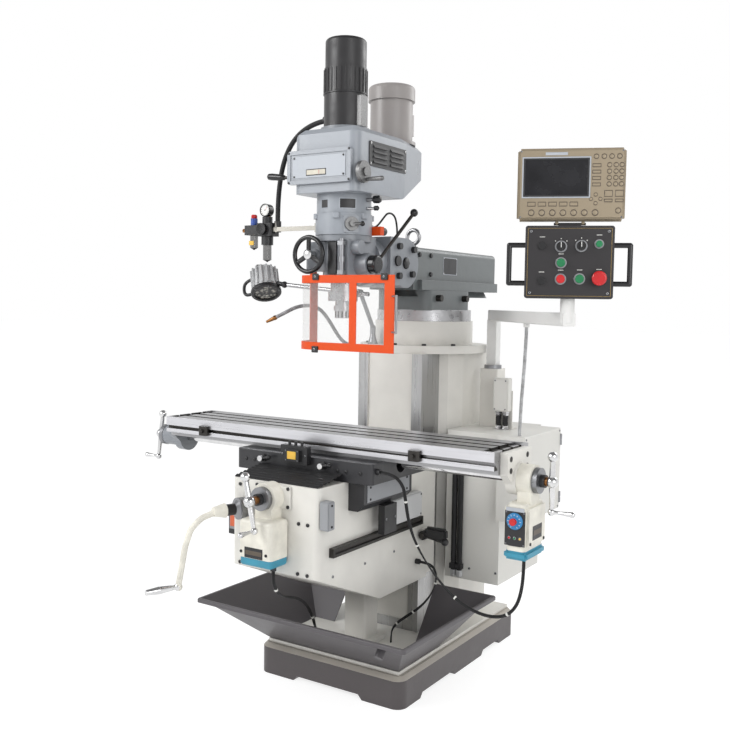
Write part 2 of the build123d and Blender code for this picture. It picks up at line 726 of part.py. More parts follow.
# Knee
def knee():
    back = WAY_FRONT - SLIDE_GAP
    profile = [(KNEE_FRONT, KNEE_TOP), (back, KNEE_TOP), (back, KNEE_BELLY), (KNEE_BELLY_FRONT, KNEE_BELLY),
               (KNEE_FRONT, KNEE_NOSE)]
    body = across(profile, -KNEE_HALF, KNEE_HALF)
    body = fillet(body.edges().filter_by(Axis.Z).group_by(Axis.Y)[0], KNEE_FRONT_R)
    wall = KNEE_WALL
    slope = (KNEE_NOSE - KNEE_BELLY) / (KNEE_BELLY_FRONT - KNEE_FRONT)
    front = KNEE_FRONT + wall
    ceiling = KNEE_TOP - KNEE_ROOF
    lip = KNEE_BELLY_FRONT + 12
    floor_front = KNEE_NOSE - slope * wall + wall
    floor_lip = KNEE_BELLY + wall
    hollow = [(front, ceiling), (back - wall, ceiling), (back - wall, KNEE_BELLY - 10),
              (lip, KNEE_BELLY - 10), (lip, floor_lip), (front, floor_front)]
    body -= across(hollow, -KNEE_HALF + wall, KNEE_HALF - wall)
    ear_front = back
    ear_back = back + KNEE_EAR
    ear = block(WAY_HALF + SLIDE_GAP, KNEE_HALF, ear_front - 4, ear_back, KNEE_BELLY + 14, KNEE_TOP)
    ear -= block(0, WAY_HALF + SLIDE_GAP + 1, ear_front, ear_back, 0, KNEE_BELLY)
    body += both_sides(ear)
    half = LIFT_BRIDGE_DEPTH / 2
    inner = KNEE_HALF - wall + 4
    body += block(-inner, inner, LIFT_Y - half, LIFT_Y + half, LIFT_BRIDGE_Z, LIFT_BRIDGE_Z + LIFT_BRIDGE_THICK)
    body -= disc(0, LIFT_Y, LIFT_BRIDGE_Z - 10, LIFT_BRIDGE_Z + LIFT_BRIDGE_THICK + 10, LIFT_JOURNAL_R + RUN_FIT)
    slot = Y_NUT_HALF + 5
    body -= block(-slot, slot, KNEE_FRONT + 60, Y_SCREW_BACK + 20, ceiling - 1, KNEE_TOP)
    body -= rod((0, KNEE_FRONT - 1, Y_SCREW_Z), (0, front + 1, Y_SCREW_Z), Y_SCREW_R + RUN_FIT)
    out = crank_direction()
    mouth = Vector(Z_CRANK_X, KNEE_FRONT, Z_CRANK_Z)
    body -= rod((mouth + out * 30), (mouth - out * 60), Z_SHAFT_R + RUN_FIT)
    lug = block(KNEE_HALF - 2, KNEE_HALF + 38, back - 44, back - 6, 505, 545)
    body += rounded(lug, Axis.X, 8)
    return body


def knee_fittings():
    left = -KNEE_HALF - SKIN_GAP
    switch = rounded(block(left - 34, left, KNEE_FRONT + 24, KNEE_FRONT + 74, 596, 690), Axis.X, 5)
    switch += rod((left - 17, KNEE_FRONT + 49, 690), (left - 17, KNEE_FRONT + 49, 699), 7)
    right = KNEE_HALF + SKIN_GAP
    scale = block(right, right + 18, KNEE_FRONT + 64, WAY_FRONT - 62, 568, 598)
    scale -= block(right + 12, right + 18, KNEE_FRONT + 74, WAY_FRONT - 72, 578, 588)
    gland = rod((right, -150, 428), (right + 16, -150, 428), 10)
    return [switch, scale, gland]


def feed_case(width, depth, top, height, tray):
    """A power-feed case hanging below z = top, centred on the origin, with its front on -Y."""
    case = block(-width / 2, width / 2, -depth / 2, depth / 2, top - height, top)
    case = rounded(case, Axis.Z, FEED_CORNER_R)
    case = fillet(case.faces().sort_by(Axis.Z)[-1].edges(), FEED_CORNER_R - 2)
    low = block(-width / 2 + 2, width / 2 - 2, -depth / 2 + 2, depth / 2 - 2, top - height - tray, top - height)
    low = rounded(low, Axis.Z, FEED_CORNER_R - 2)
    low = fillet(low.faces().sort_by(Axis.Z)[0].edges(), FEED_CORNER_R - 4)
    return case, low


def y_feed_unit():
    back = KNEE_FRONT - SKIN_GAP
    top = Y_SCREW_Z - FEED_DROP
    depth = FEED_DEPTH + 32
    place = Pos(0, back - depth / 2, 0)
    case, low = feed_case(FEED_WIDTH, depth, top, FEED_HEIGHT - 24, FEED_TRAY)
    case = place * case
    case += block(-34, 34, back - Y_FEED_REACH, back, top - FEED_CORNER_R, Y_SCREW_Z)
    case += rod((0, back, Y_SCREW_Z), (0, back - Y_FEED_REACH, Y_SCREW_Z), FEED_NECK_R)
    case -= rod((0, back + 1, Y_SCREW_Z), (0, back - Y_FEED_REACH - 1, Y_SCREW_Z), Y_SCREW_R + 2)
    floor = top - FEED_HEIGHT + 24 - FEED_TRAY
    gland = rod((40, back - depth / 2, floor), (40, back - depth / 2, floor - 14), 10)
    return [case, place * low, gland]


def knee_lock_lever():
    y = WAY_FRONT - SLIDE_GAP - 44 - SKIN_GAP
    x = KNEE_HALF + 20
    hub = rod((x, y - 26, 525), (x, y, 525), 17)
    arm = rod((x, y - 13, 525), (x + 84, y - 13, 512), 8)
    return hub + arm + ball((x + 88, y - 13, 511.4), 14)


def crank_direction():
    angle = math.radians(Z_CRANK_YAW)
    return Vector(-math.sin(angle), -math.cos(angle), 0)


def z_crank():
    out = crank_direction()
    side = Vector(-math.cos(math.radians(Z_CRANK_YAW)), math.sin(math.radians(Z_CRANK_YAW)), 0)
    lean = math.radians(Z_CRANK_LEAN)
    radial = side * math.sin(lean) + Vector(0, 0, -math.cos(lean))
    mouth = Vector(Z_CRANK_X, KNEE_FRONT, Z_CRANK_Z)

    def at(reach, offset):
        return (mouth + out * reach + radial * offset)

    face = Z_DIAL_R * math.sin(math.radians(Z_CRANK_YAW)) + 3
    shaft = rod(at(-46, 0), at(face, 0), Z_SHAFT_R)
    shaft += rod(at(face, 0), at(face + 28, 0), Z_DIAL_R)
    shaft += taper(at(face + 28, 0), at(face + 40, 0), Z_DIAL_R - 8, 18)
    shaft += rod(at(face + 40, 0), at(face + 74, 0), 19)
    shaft += taper(at(face + 74, 0), at(face + 116, 0), 24, 15)
    bend = [Vector(*at(face + 100, 0)), Vector(*at(172, 16)), Vector(*at(204, 50)), Vector(*at(216, 112)),
            Vector(*at(222, Z_CRANK_RADIUS))]
    arm_path = FilletPolyline(*bend, radius=[60, 60, 60])
    section = Plane(origin=bend[0], z_dir=bend[1] - bend[0]) * Circle(10)
    shaft += sweep(section, path=arm_path)
    shaft += ball(at(222, Z_CRANK_RADIUS), 14)
    grip = rod(at(222, Z_CRANK_RADIUS), at(244, Z_CRANK_RADIUS), 8)
    grip += taper(at(244, Z_CRANK_RADIUS), at(222 + Z_GRIP * 0.6, Z_CRANK_RADIUS), 9, Z_GRIP_R)
    grip += taper(at(222 + Z_GRIP * 0.6, Z_CRANK_RADIUS), at(222 + Z_GRIP, Z_CRANK_RADIUS), Z_GRIP_R, 9)
    return shaft + grip


def elevating_screw():
    screw = disc(0, LIFT_Y, LIFT_SCREW_BOTTOM, LIFT_BRIDGE_Z - SLIDE_GAP, LIFT_SCREW_R)
    return screw + disc(0, LIFT_Y, LIFT_SCREW_BOTTOM, LIFT_BRIDGE_Z + LIFT_BRIDGE_THICK - 2, LIFT_JOURNAL_R)


def y_screw():
    front = KNEE_FRONT - SKIN_GAP - Y_FEED_REACH - SKIN_GAP
    screw = rod((0, Y_SCREW_BACK, Y_SCREW_Z), (0, Y_CRANK_Y, Y_SCREW_Z), Y_SCREW_R)
    screw += rod((0, front, Y_SCREW_Z), (0, front - DIAL_THICK, Y_SCREW_Z), DIAL_R - 2)
    screw += rod((0, front - DIAL_THICK, Y_SCREW_Z), (0, front - DIAL_THICK - 16, Y_SCREW_Z), 19)
    screw += Pos(0, Y_CRANK_Y, Y_SCREW_Z) * Rot(0, 0, -90) * ball_crank(Y_CRANK_TILT)
    return screw


# Saddle
def saddle():
    slab = block(-SADDLE_HALF, SADDLE_HALF, SADDLE_FRONT, SADDLE_BACK, SADDLE_UNDER, SADDLE_TOP)
    slab = rounded(slab, Axis.Z, SADDLE_CORNER_R)
    rail = [(-RAIL_NECK_HALF, SADDLE_TOP), (RAIL_NECK_HALF, SADDLE_TOP),
            (RAIL_TOP_HALF, SADDLE_TOP + RAIL_HEIGHT), (-RAIL_TOP_HALF, SADDLE_TOP + RAIL_HEIGHT)]
    slab += across([(TABLE_Y + y, z) for y, z in rail], -SADDLE_HALF, SADDLE_HALF)
    skirt_in = KNEE_HALF + SLIDE_GAP
    skirt = block(skirt_in, skirt_in + SKIRT_THICK, SKIRT_FRONT, SKIRT_BACK, SADDLE_UNDER - SKIRT_DROP, SADDLE_UNDER)
    skirt = chamfer(skirt.faces().sort_by(Axis.Z)[0].edges().sort_by(Axis.X)[-1], 24)
    slab += both_sides(skirt)
    slab -= rod((-SADDLE_HALF, TABLE_Y, X_SCREW_Z), (SADDLE_HALF, TABLE_Y, X_SCREW_Z), TUNNEL_R)
    y0 = Y_NUT_Y - Y_NUT_LENGTH / 2
    y1 = Y_NUT_Y + Y_NUT_LENGTH / 2
    slab += block(-Y_NUT_HALF, Y_NUT_HALF, y0, y1, Y_SCREW_Z - 24, SADDLE_UNDER + 2)
    return slab - rod((0, y0, Y_SCREW_Z), (0, y1, Y_SCREW_Z), Y_SCREW_R + RUN_FIT)


def saddle_fittings():
    face = SADDLE_FRONT - SKIN_GAP
    switch = rounded(block(-70, 41, face - 22, face, 842, 905), Axis.Y, 4)
    switch += block(-44, 15, face - 34, face - 22, 852, 892)
    for x in (-40, -14, 12):
        switch += rod((x, face - 11, 905), (x, face - 11, 918), 5)
    nut = rod((-34, TABLE_Y, X_SCREW_Z), (34, TABLE_Y, X_SCREW_Z), TUNNEL_R - SKIN_GAP)
    nut -= rod((-34, TABLE_Y, X_SCREW_Z), (34, TABLE_Y, X_SCREW_Z), X_SCREW_R + RUN_FIT)
    bosses = []
    for x in LOCK_PLACES:
        bosses.append(rod((x, SADDLE_FRONT, LOCK_Z), (x, SADDLE_FRONT - 8, LOCK_Z), 13))
    reader_x = KNEE_HALF + SLIDE_GAP + SKIRT_THICK
    reader = block(reader_x - 26, reader_x, -476, -398, 602, SADDLE_UNDER - SKIRT_DROP)
    gland = rod((SADDLE_HALF, -600, 842), (SADDLE_HALF + 14, -600, 842), 10)
    return [switch, nut, reader, gland, *bosses]


LOCK_PLACES = (-161, 94)
LOCK_Z = 846


def table_lock(x):
    face = SADDLE_FRONT - 8 - SKIN_GAP
    hub = rod((x, face, LOCK_Z), (x, face - 16, LOCK_Z), 10)
    arm = rod((x, face - 9, LOCK_Z), (x + 34, face - 12, LOCK_Z + 6), 5)
    return hub + arm + ball((x + 36, face - 12, LOCK_Z + 6.4), 8)


WAY_COVER_HALF = 172
WAY_COVER_SHEET = 5


def way_cover():
    back = SADDLE_FRONT - SKIN_GAP
    front = KNEE_FRONT + 8
    low = KNEE_TOP + SKIN_GAP
    high = SADDLE_UNDER + 24
    sheet = WAY_COVER_SHEET
    profile = [(front, low), (front + 12, low), (back, high), (back, high + sheet), (front + 10, low + sheet),
               (front, low + sheet)]
    return across(profile, -WAY_COVER_HALF, WAY_COVER_HALF)


# Table
def table():
    slab = block(-TABLE_HALF, TABLE_HALF, TABLE_FRONT, TABLE_BACK, TABLE_UNDER, TABLE_TOP)
    under = TABLE_THICK - TABLE_EDGE
    for y0, y1 in ((TABLE_FRONT, TABLE_FRONT + UNDERCUT), (TABLE_BACK - UNDERCUT, TABLE_BACK)):
        slab -= block(-TABLE_HALF, TABLE_HALF, y0, y1, TABLE_UNDER, TABLE_UNDER + under - DOG_SLOT_WIDTH * 2)
    for place in (-1, 0, 1):
        y = TABLE_Y + place * SLOT_PITCH
        neck = SLOT_WIDTH / 2
        head = SLOT_HEAD_WIDTH / 2
        slab -= block(-TABLE_HALF, TABLE_HALF, y - neck, y + neck, TABLE_TOP - SLOT_NECK, TABLE_TOP)
        slab -= block(-TABLE_HALF, TABLE_HALF, y - head, y + head,
                      TABLE_TOP - SLOT_NECK - SLOT_HEAD_DEPTH, TABLE_TOP - SLOT_NECK)
    dog = TABLE_TOP - DOG_SLOT_DROP
    slab -= block(-TABLE_HALF, TABLE_HALF, TABLE_FRONT, TABLE_FRONT + DOG_SLOT_DEPTH,
                  dog - DOG_SLOT_WIDTH / 2, dog + DOG_SLOT_WIDTH / 2)
    for x0, x1 in ((-TABLE_HALF + 10, -TABLE_HALF + 10 + POCKET_LENGTH),
                   (TABLE_HALF - 10 - POCKET_LENGTH, TABLE_HALF - 10)):
        slab -= block(x0, x1, TABLE_FRONT + 12, TABLE_BACK - 12, TABLE_TOP - POCKET_DEPTH, TABLE_TOP)
    neck = RAIL_NECK_HALF + SLIDE_GAP
    top = RAIL_TOP_HALF + SLIDE_GAP
    groove = [(-neck, TABLE_UNDER), (neck, TABLE_UNDER), (top, TABLE_UNDER + RAIL_HEIGHT),
              (-top, TABLE_UNDER + RAIL_HEIGHT)]
    return slab - across([(TABLE_Y + y, z) for y, z in groove], -TABLE_HALF, TABLE_HALF)


DOG_PLACES = (-488, 411)


def table_fittings():
    low = X_SCREW_Z - 22
    plate = [(TABLE_FRONT + 42, TABLE_TOP - 6), (TABLE_BACK - 36, TABLE_TOP - 6), (TABLE_BACK - 36, low + 40),
             (TABLE_Y + BRACKET_BOSS_R - 12, low), (TABLE_Y - BRACKET_BOSS_R + 12, low), (TABLE_FRONT + 42, low + 40)]
    inner = TABLE_HALF + SKIN_GAP
    right = across(plate, inner, BRACKET_X)
    right += rod((inner, TABLE_Y, X_SCREW_Z), (BOSS_X, TABLE_Y, X_SCREW_Z), BRACKET_BOSS_R)
    left = across(plate, -BRACKET_X, -inner)
    left += rod((-inner, TABLE_Y, X_SCREW_Z), (-BOSS_X, TABLE_Y, X_SCREW_Z), BRACKET_BOSS_R)
    left += rod((-BOSS_X, TABLE_Y, X_SCREW_Z), (-BOSS_X - LEFT_HOUSING, TABLE_Y, X_SCREW_Z), LEFT_HOUSING_R)
    reach = BOSS_X + LEFT_HOUSING + 1
    bore = rod((-reach, TABLE_Y, X_SCREW_Z), (reach, TABLE_Y, X_SCREW_Z), X_SCREW_R + RUN_FIT)
    dogs = []
    dog_z = TABLE_TOP - DOG_SLOT_DROP
    face = TABLE_FRONT - SKIN_GAP
    for x in DOG_PLACES:
        dog = block(x - 21, x + 21, face - 16, face, dog_z - 17, dog_z + 17)
        dog = chamfer(dog.edges().filter_by(Axis.Z).group_by(Axis.Y)[0], 6)
        dogs.append(dog + rod((x, face - 16, dog_z), (x, face - 24, dog_z), 7))
    return [right - bore, left - bore, *dogs]


def x_feed_unit():
    inner = BOSS_X + SKIN_GAP
    outer = inner + FEED_DEPTH - 18
    top = X_SCREW_Z - FEED_DROP
    place = Pos(outer - FEED_DEPTH / 2, TABLE_Y, 0)
    case, low = feed_case(FEED_DEPTH, FEED_WIDTH + 12, top, FEED_HEIGHT, FEED_TRAY)
    case = place * case
    case += block(inner, outer, TABLE_Y - 34, TABLE_Y + 34, top - FEED_CORNER_R, X_SCREW_Z)
    case += rod((inner, TABLE_Y, X_SCREW_Z), (outer, TABLE_Y, X_SCREW_Z), FEED_NECK_R)
    case -= rod((inner, TABLE_Y, X_SCREW_Z), (outer, TABLE_Y, X_SCREW_Z), X_SCREW_R + 2)
    face = TABLE_Y - (FEED_WIDTH + 12) / 2
    panel_x = outer - FEED_DEPTH / 2
    panel = block(panel_x - 20, panel_x + 20, face - 4, face, top - FEED_HEIGHT + 16, top - 24)
    gland = rod((panel_x, TABLE_Y, top - FEED_HEIGHT - FEED_TRAY),
                (panel_x, TABLE_Y, top - FEED_HEIGHT - FEED_TRAY - 14), 10)
    return [case, place * low, panel, gland]


def x_feed_knob():
    inner = BOSS_X + SKIN_GAP
    x = inner + FEED_DEPTH - 18 - FEED_DEPTH / 2
    y = TABLE_Y - (FEED_WIDTH + 12) / 2 - 4 - SKIN_GAP
    z = X_SCREW_Z - FEED_DROP - 52
    return rod((x, y, z), (x, y - 12, z), 15) + rod((x, y - 12, z), (x, y - 20, z), 11)


def x_screw():
    right = BOSS_X + SKIN_GAP + FEED_DEPTH - 18 + SKIN_GAP
    left = -BOSS_X - LEFT_HOUSING - SKIN_GAP
    right_hub = right + DIAL_THICK + 36
    left_hub = left - DIAL_THICK - 26
    screw = rod((left_hub, TABLE_Y, X_SCREW_Z), (right_hub, TABLE_Y, X_SCREW_Z), X_SCREW_R)
    screw += rod((right, TABLE_Y, X_SCREW_Z), (right + DIAL_THICK, TABLE_Y, X_SCREW_Z), DIAL_R)
    screw += rod((left, TABLE_Y, X_SCREW_Z), (left - DIAL_THICK, TABLE_Y, X_SCREW_Z), DIAL_R)
    screw += rod((right, TABLE_Y, X_SCREW_Z), (right + DIAL_THICK + 16, TABLE_Y, X_SCREW_Z), 20)
    screw += rod((left, TABLE_Y, X_SCREW_Z), (left - DIAL_THICK - 12, TABLE_Y, X_SCREW_Z), 20)
    screw += Pos(right_hub, TABLE_Y, X_SCREW_Z) * ball_crank(0)
    screw += Pos(left_hub, TABLE_Y, X_SCREW_Z) * Rot(0, 0, 180) * ball_crank(8)
    return screw


# Turret, ram and knuckle
def turret():
    body = disc(0, TURRET_Y, TURRET_UNDER, TURRET_RING_TOP, TURRET_RING_R)
    half = TURRET_LENGTH / 2
    saddle_block = block(-TURRET_HALF, TURRET_HALF, TURRET_Y - half, TURRET_Y + half, TURRET_RING_TOP - 2, TURRET_TOP)
    body += rounded(saddle_block, Axis.Z, 40)
    neck = RAM_RAIL_NECK + SLIDE_GAP
    top = RAM_RAIL_TOP + SLIDE_GAP
    low = TURRET_TOP - RAM_RAIL - SLIDE_GAP
    groove = [(-top, low), (top, low), (neck, TURRET_TOP), (-neck, TURRET_TOP)]
    body -= along(groove, TURRET_Y - half - 1, TURRET_Y + half + 1)
    for y in (TURRET_Y - 110, TURRET_Y + 110):
        body += rod((TURRET_HALF - 4, y, TURRET_TOP - 30), (TURRET_HALF + 22, y, TURRET_TOP - 30), 13)
    return body


def eyebolt():
    seat = RAM_TOP
    ring_z = seat + 22 + EYEBOLT_R
    bolt = disc(0, EYEBOLT_Y, seat, seat + 10, 20)
    bolt += disc(0, EYEBOLT_Y, seat + 10, seat + 26, 12)
    ring = Pos(0, EYEBOLT_Y, ring_z) * Rot(90, 0, 0) * Torus(EYEBOLT_R, EYEBOLT_ROD_R)
    return bolt + ring


def ram():
    body = block(-RAM_HALF, RAM_HALF, RAM_FRONT, RAM_BACK, RAM_UNDER, RAM_TOP)
    body = fillet(body.faces().sort_by(Axis.Z)[-1].edges().filter_by(Axis.Y), RAM_EDGE_R)
    flange_front = NOD_Y + NOD_R + 4
    body += block(-RAM_FLANGE_HALF, RAM_FLANGE_HALF, flange_front, RAM_BACK - 8, RAM_UNDER, RAM_UNDER + RAM_FLANGE)
    low = TURRET_TOP - RAM_RAIL
    rail = [(-RAM_RAIL_TOP, low), (RAM_RAIL_TOP, low), (RAM_RAIL_NECK, RAM_UNDER), (-RAM_RAIL_NECK, RAM_UNDER)]
    body += along(rail, flange_front + 94, RAM_BACK - 30)
    tongue = rod((-RAM_HALF, NOD_Y, TILT_Z), (-SLIDE_GAP, NOD_Y, TILT_Z), NOD_R - 2)
    tongue += block(-RAM_HALF, -SLIDE_GAP, NOD_Y, RAM_FRONT + 2, TILT_Z - NOD_R + 12, TILT_Z + NOD_R - 32)
    body -= rod((0, NOD_Y, TILT_Z), (RAM_FLANGE_HALF, NOD_Y, TILT_Z), NOD_R + SKIN_GAP)
    body += tongue
    body += rod((-SLIDE_GAP, NOD_Y, TILT_Z), (RAM_HALF - 6, NOD_Y, TILT_Z), NOD_PIN_R)
    return [body, eyebolt()]


def knuckle():
    left = SLIDE_GAP
    right = RAM_HALF + 2
    back = TILT_FACE_Y + TILT_DISC
    body = rod((left, NOD_Y, TILT_Z), (right, NOD_Y, TILT_Z), NOD_R)
    body += block(left, right, back - 2, NOD_Y, TILT_Z - KNUCKLE_BOTTOM, TILT_Z + NOD_R)
    body += rod((0, back, TILT_Z), (0, TILT_FACE_Y, TILT_Z), TILT_DISC_R)
    body -= rod((left, NOD_Y, TILT_Z), (right, NOD_Y, TILT_Z), NOD_PIN_R + RUN_FIT)
    for y, z in ((NOD_Y - 55, 60), (NOD_Y - 55, -48), (NOD_Y + 48, 52), (NOD_Y + 40, -40)):
        body += rod((right - 2, y, TILT_Z + z), (right + 14, y, TILT_Z + z), 12)
    body += rod((right, NOD_Y - 62, TILT_Z + 6), (right + 8, NOD_Y - 62, TILT_Z + 6), 19)
    return body


# Head
def head_casting():
    back = TILT_FACE_Y - SLIDE_GAP
    body = rod((0, back, TILT_Z), (0, back - HEAD_DISC, TILT_Z), TILT_DISC_R)
    body += disc(0, SPINDLE_Y, BARREL_LOW, HEAD_TOP, BARREL_R)
    body += disc(0, SPINDLE_Y, HEAD_TOP - 22, HEAD_TOP, GEAR_RING_R - 4)
    body += block(-HEAD_CHEEK_HALF, HEAD_CHEEK_HALF, SPINDLE_Y, back - HEAD_DISC + 2, TILT_Z - 72, HEAD_TOP)
    body += rod((BARREL_R - 30, LEVER_Y, LEVER_Z), (BARREL_R + 50, LEVER_Y, LEVER_Z), 40)
    body += rod((20, SPINDLE_Y - 44, TILT_Z + 42), (BARREL_R + 34, SPINDLE_Y - 44, TILT_Z + 42), 24)
    body += rounded(block(-BARREL_R - 44, -20, WHEEL_Y + 34, SPINDLE_Y + 30, TILT_Z - 40, TILT_Z + 62), Axis.Z, 14)
    body += block(-16, 74, SPINDLE_Y - BARREL_R - 8, SPINDLE_Y, BARREL_LOW + 22, TILT_Z + 68)
    body += rod((WHEEL_X, WHEEL_Y + 34, WHEEL_Z), (WHEEL_X, WHEEL_Y + 22, WHEEL_Z), 22)
    return body - disc(0, SPINDLE_Y, BARREL_LOW - 1, HEAD_TOP, QUILL_R + RUN_FIT)


def gear_housing():
    ring = disc(0, SPINDLE_Y, HEAD_TOP, GEAR_TOP, GEAR_RING_R)
    turn = Pos(0, SPINDLE_Y, 0) * Rot(0, 0, RANGE_ANGLE)
    reach = GEAR_RING_R
    pad = block(-28, 28, -reach - 3, -reach + 40, HEAD_TOP + 6, GEAR_TOP - 8)
    ring += turn * rounded(pad, Axis.Y, 8)
    ring += disc(0, SPINDLE_Y, GEAR_TOP, BELT_LOW, GEAR_NECK_R)
    for step in range(6):
        angle = RANGE_ANGLE + 30 + 60 * step
        lug = block(-14, 14, -reach - 8, -reach + 40, GEAR_TOP - 18, GEAR_TOP)
        ring += Pos(0, SPINDLE_Y, 0) * Rot(0, 0, angle) * rounded(lug, Axis.Z, 8)
    gland = rod((66, -334, 1655), (66, -312, 1655), 7)
    return ring + gland


def belt_plan(inset):
    right = [(BELT_HALF - inset, BELT_FRONT + inset), (BELT_HALF - inset, BELT_SHOULDER),
             (BELT_TAIL_HALF - inset, BELT_TAIL - inset)]
    return mirrored(right)


def belt_housing():
    body = upright(belt_plan(0), BELT_LOW, BELT_TOP)
    body = fillet(body.edges().filter_by(Axis.Z), BELT_CORNER_R)
    body = chamfer(body.faces().sort_by(Axis.Z)[-1].edges(), BELT_BEVEL)
    rise = BELT_LOW + BELT_TAIL_RISE
    cavity = upright(belt_plan(BELT_WALL + BELT_BEVEL), BELT_LOW + BELT_WALL, BELT_TOP - BELT_WALL)
    shoulder = BELT_SHOULDER - 12
    body -= across([(shoulder, BELT_LOW), (BELT_TAIL, BELT_LOW), (BELT_TAIL, rise)], -BELT_HALF, BELT_HALF)
    cavity -= across([(shoulder - 20, BELT_LOW), (BELT_TAIL, BELT_LOW), (BELT_TAIL, rise + 30)], -BELT_HALF, BELT_HALF)
    body -= cavity
    edge = [(-BELT_HALF, BELT_TOP - BELT_SHOULDER_CUT), (-BELT_HALF + BELT_SHOULDER_CUT, BELT_TOP), (-BELT_HALF, BELT_TOP)]
    body -= along(edge, BELT_FRONT, BELT_TAIL)
    body -= disc(0, SPINDLE_Y, BELT_LOW, BELT_LOW + BELT_WALL, GEAR_NECK_R - 14)
    panel = block(PANEL_LEFT, PANEL_RIGHT, BELT_FRONT - PANEL_PROUD, BELT_FRONT, BELT_LOW + PANEL_LOW,
                  BELT_LOW + PANEL_LOW + PANEL_HEIGHT)
    panel = rounded(panel, Axis.Y, 14)
    recess = block(PANEL_LEFT + 14, PANEL_RIGHT - 14, BELT_FRONT - PANEL_PROUD, BELT_FRONT - PANEL_PROUD + 3,
                   BELT_LOW + PANEL_LOW + 14, BELT_LOW + PANEL_LOW + PANEL_HEIGHT - 14)
    body += panel - recess
    return body, vent_panel(1), vent_panel(-1)


def vent_panel(side):
    """A louvred cover plate on one side of the belt housing."""
    x = BELT_HALF + SKIN_GAP
    low = BELT_LOW + VENT_LOW
    plate = block(x, x + VENT_SHEET, VENT_FRONT, VENT_FRONT + VENT_LENGTH, low, low + VENT_HEIGHT)
    plate = rounded(plate, Axis.X, 6)
    slot = VENT_LENGTH / 2 - 34
    for column_y in (VENT_FRONT + 22, VENT_FRONT + VENT_LENGTH / 2 + 12):
        for row in range(4):
            z = low + 12 + row * 17
            hood = [(x + VENT_SHEET, z), (x + VENT_SHEET + 6, z), (x + VENT_SHEET, z + 11)]
            plate += along(hood, column_y, column_y + slot)
    return plate if side > 0 else mirror(plate, about=Plane.YZ)


def drive_motor():
    motor = disc(0, MOTOR_Y, BELT_TOP, BELT_TOP + MOTOR_HEIGHT, MOTOR_R)
    motor += disc(0, MOTOR_Y, BELT_TOP, BELT_TOP + 12, MOTOR_R + 12)
    cap = disc(0, MOTOR_Y, BELT_TOP + MOTOR_HEIGHT, BELT_TOP + MOTOR_HEIGHT + MOTOR_CAP, MOTOR_CAP_R)
    cap = fillet(cap.faces().sort_by(Axis.Z)[-1].edges(), 16)
    motor += cap
    terminal = block(-34, 34, MOTOR_Y + MOTOR_R - 20, MOTOR_Y + MOTOR_R + 34, BELT_TOP + 50, BELT_TOP + 130)
    return motor + rounded(terminal, Axis.Z, 6)


def drawbar_unit():
    low = BELT_TOP
    body = disc(0, SPINDLE_Y, low, low + DRAWBAR_BODY, DRAWBAR_R)
    body += disc(0, SPINDLE_Y, low, low + 14, DRAWBAR_R + 10)
    cap = disc(0, SPINDLE_Y, low + DRAWBAR_BODY, low + DRAWBAR_BODY + DRAWBAR_CAP, DRAWBAR_CAP_R)
    cap = fillet(cap.faces().sort_by(Axis.Z)[-1].edges(), 12)
    body += cap
    bracket = block(DRAWBAR_R - 12, DRAWBAR_R + 12, SPINDLE_Y - 30, SPINDLE_Y + 10, low + 14, low + 118)
    body += bracket
    port = rod((-DRAWBAR_R + 6, SPINDLE_Y, low + 54), (-DRAWBAR_R - 14, SPINDLE_Y, low + 52), 13)
    return body + port


def head_fittings():
    face = SPINDLE_Y - BARREL_R - 8
    strip = block(-6, 28, face - 6, face, BARREL_LOW + 28, TILT_Z + 60)
    stop_rod = rod((56, face - 12, BARREL_LOW + 20), (56, face - 12, TILT_Z + 70), 8)
    for z in (BARREL_LOW + 34, TILT_Z + 54):
        stop_rod += block(44, 68, face - 22, face, z - 7, z + 7)
    stop_rod += disc(56, face - 12, TILT_Z - 10, TILT_Z + 8, 11.5)
    pivot_z = GUARD_HIGH + 84
    left = block(GUARD_LEFT_X - 14, -BARREL_R - 44, GUARD_PIVOT_Y - 14, GUARD_PIVOT_Y + 14, pivot_z, pivot_z + 26)
    left += disc(GUARD_LEFT_X, GUARD_PIVOT_Y, GUARD_HIGH + 20, pivot_z, GUARD_PIVOT_R)
    clamp_x = GEAR_RING_R + 26
    clamp_y = SPINDLE_Y + 54
    clamp_z = HEAD_TOP + 18
    right = block(clamp_x - 52, clamp_x, clamp_y - 12, clamp_y + 12, clamp_z - 15, clamp_z + 15)
    right -= disc(0, SPINDLE_Y, HEAD_TOP, GEAR_TOP, GEAR_RING_R + SKIN_GAP)
    right += rod((clamp_x - 15, clamp_y + 12, clamp_z), (clamp_x - 15, clamp_y + 36, clamp_z), 14)
    return [strip, stop_rod, left, right]


def air_unit():
    ring = GEAR_RING_R + SKIN_GAP
    y = SPINDLE_Y
    z = HEAD_TOP + 32
    strip = block(-308, -ring - 10, y - 12, y - 4, z - 8, z + 8)
    strip += block(-ring - 12, -ring - 4, y - 22, y + 6, z - 16, z + 16)
    x = -346
    body = rounded(block(x - 34, x + 38, y - 26, y + 26, z - 24, z + 24), Axis.Z, 8)
    body += disc(x, y, z - 56, z - 24, 22)
    body += disc(x, y, z - 112, z - 56, 16)
    body += disc(x, y, z + 24, z + 48, 19)
    body += rod((x, y - 26, z + 2), (x, y - 40, z + 2), 21)
    body += block(x - 96, x - 34, y - 18, y + 18, z - 18, z + 18)
    body += disc(x - 64, y, z - 66, z - 18, 15)
    body += disc(x - 64, y, z + 18, z + 44, 13)
    body += disc(-297, y, z - 10, z + 30, 13)
    body += block(x + 20, -290, y - 10, y + 10, z - 10, z + 10)
    return strip + body


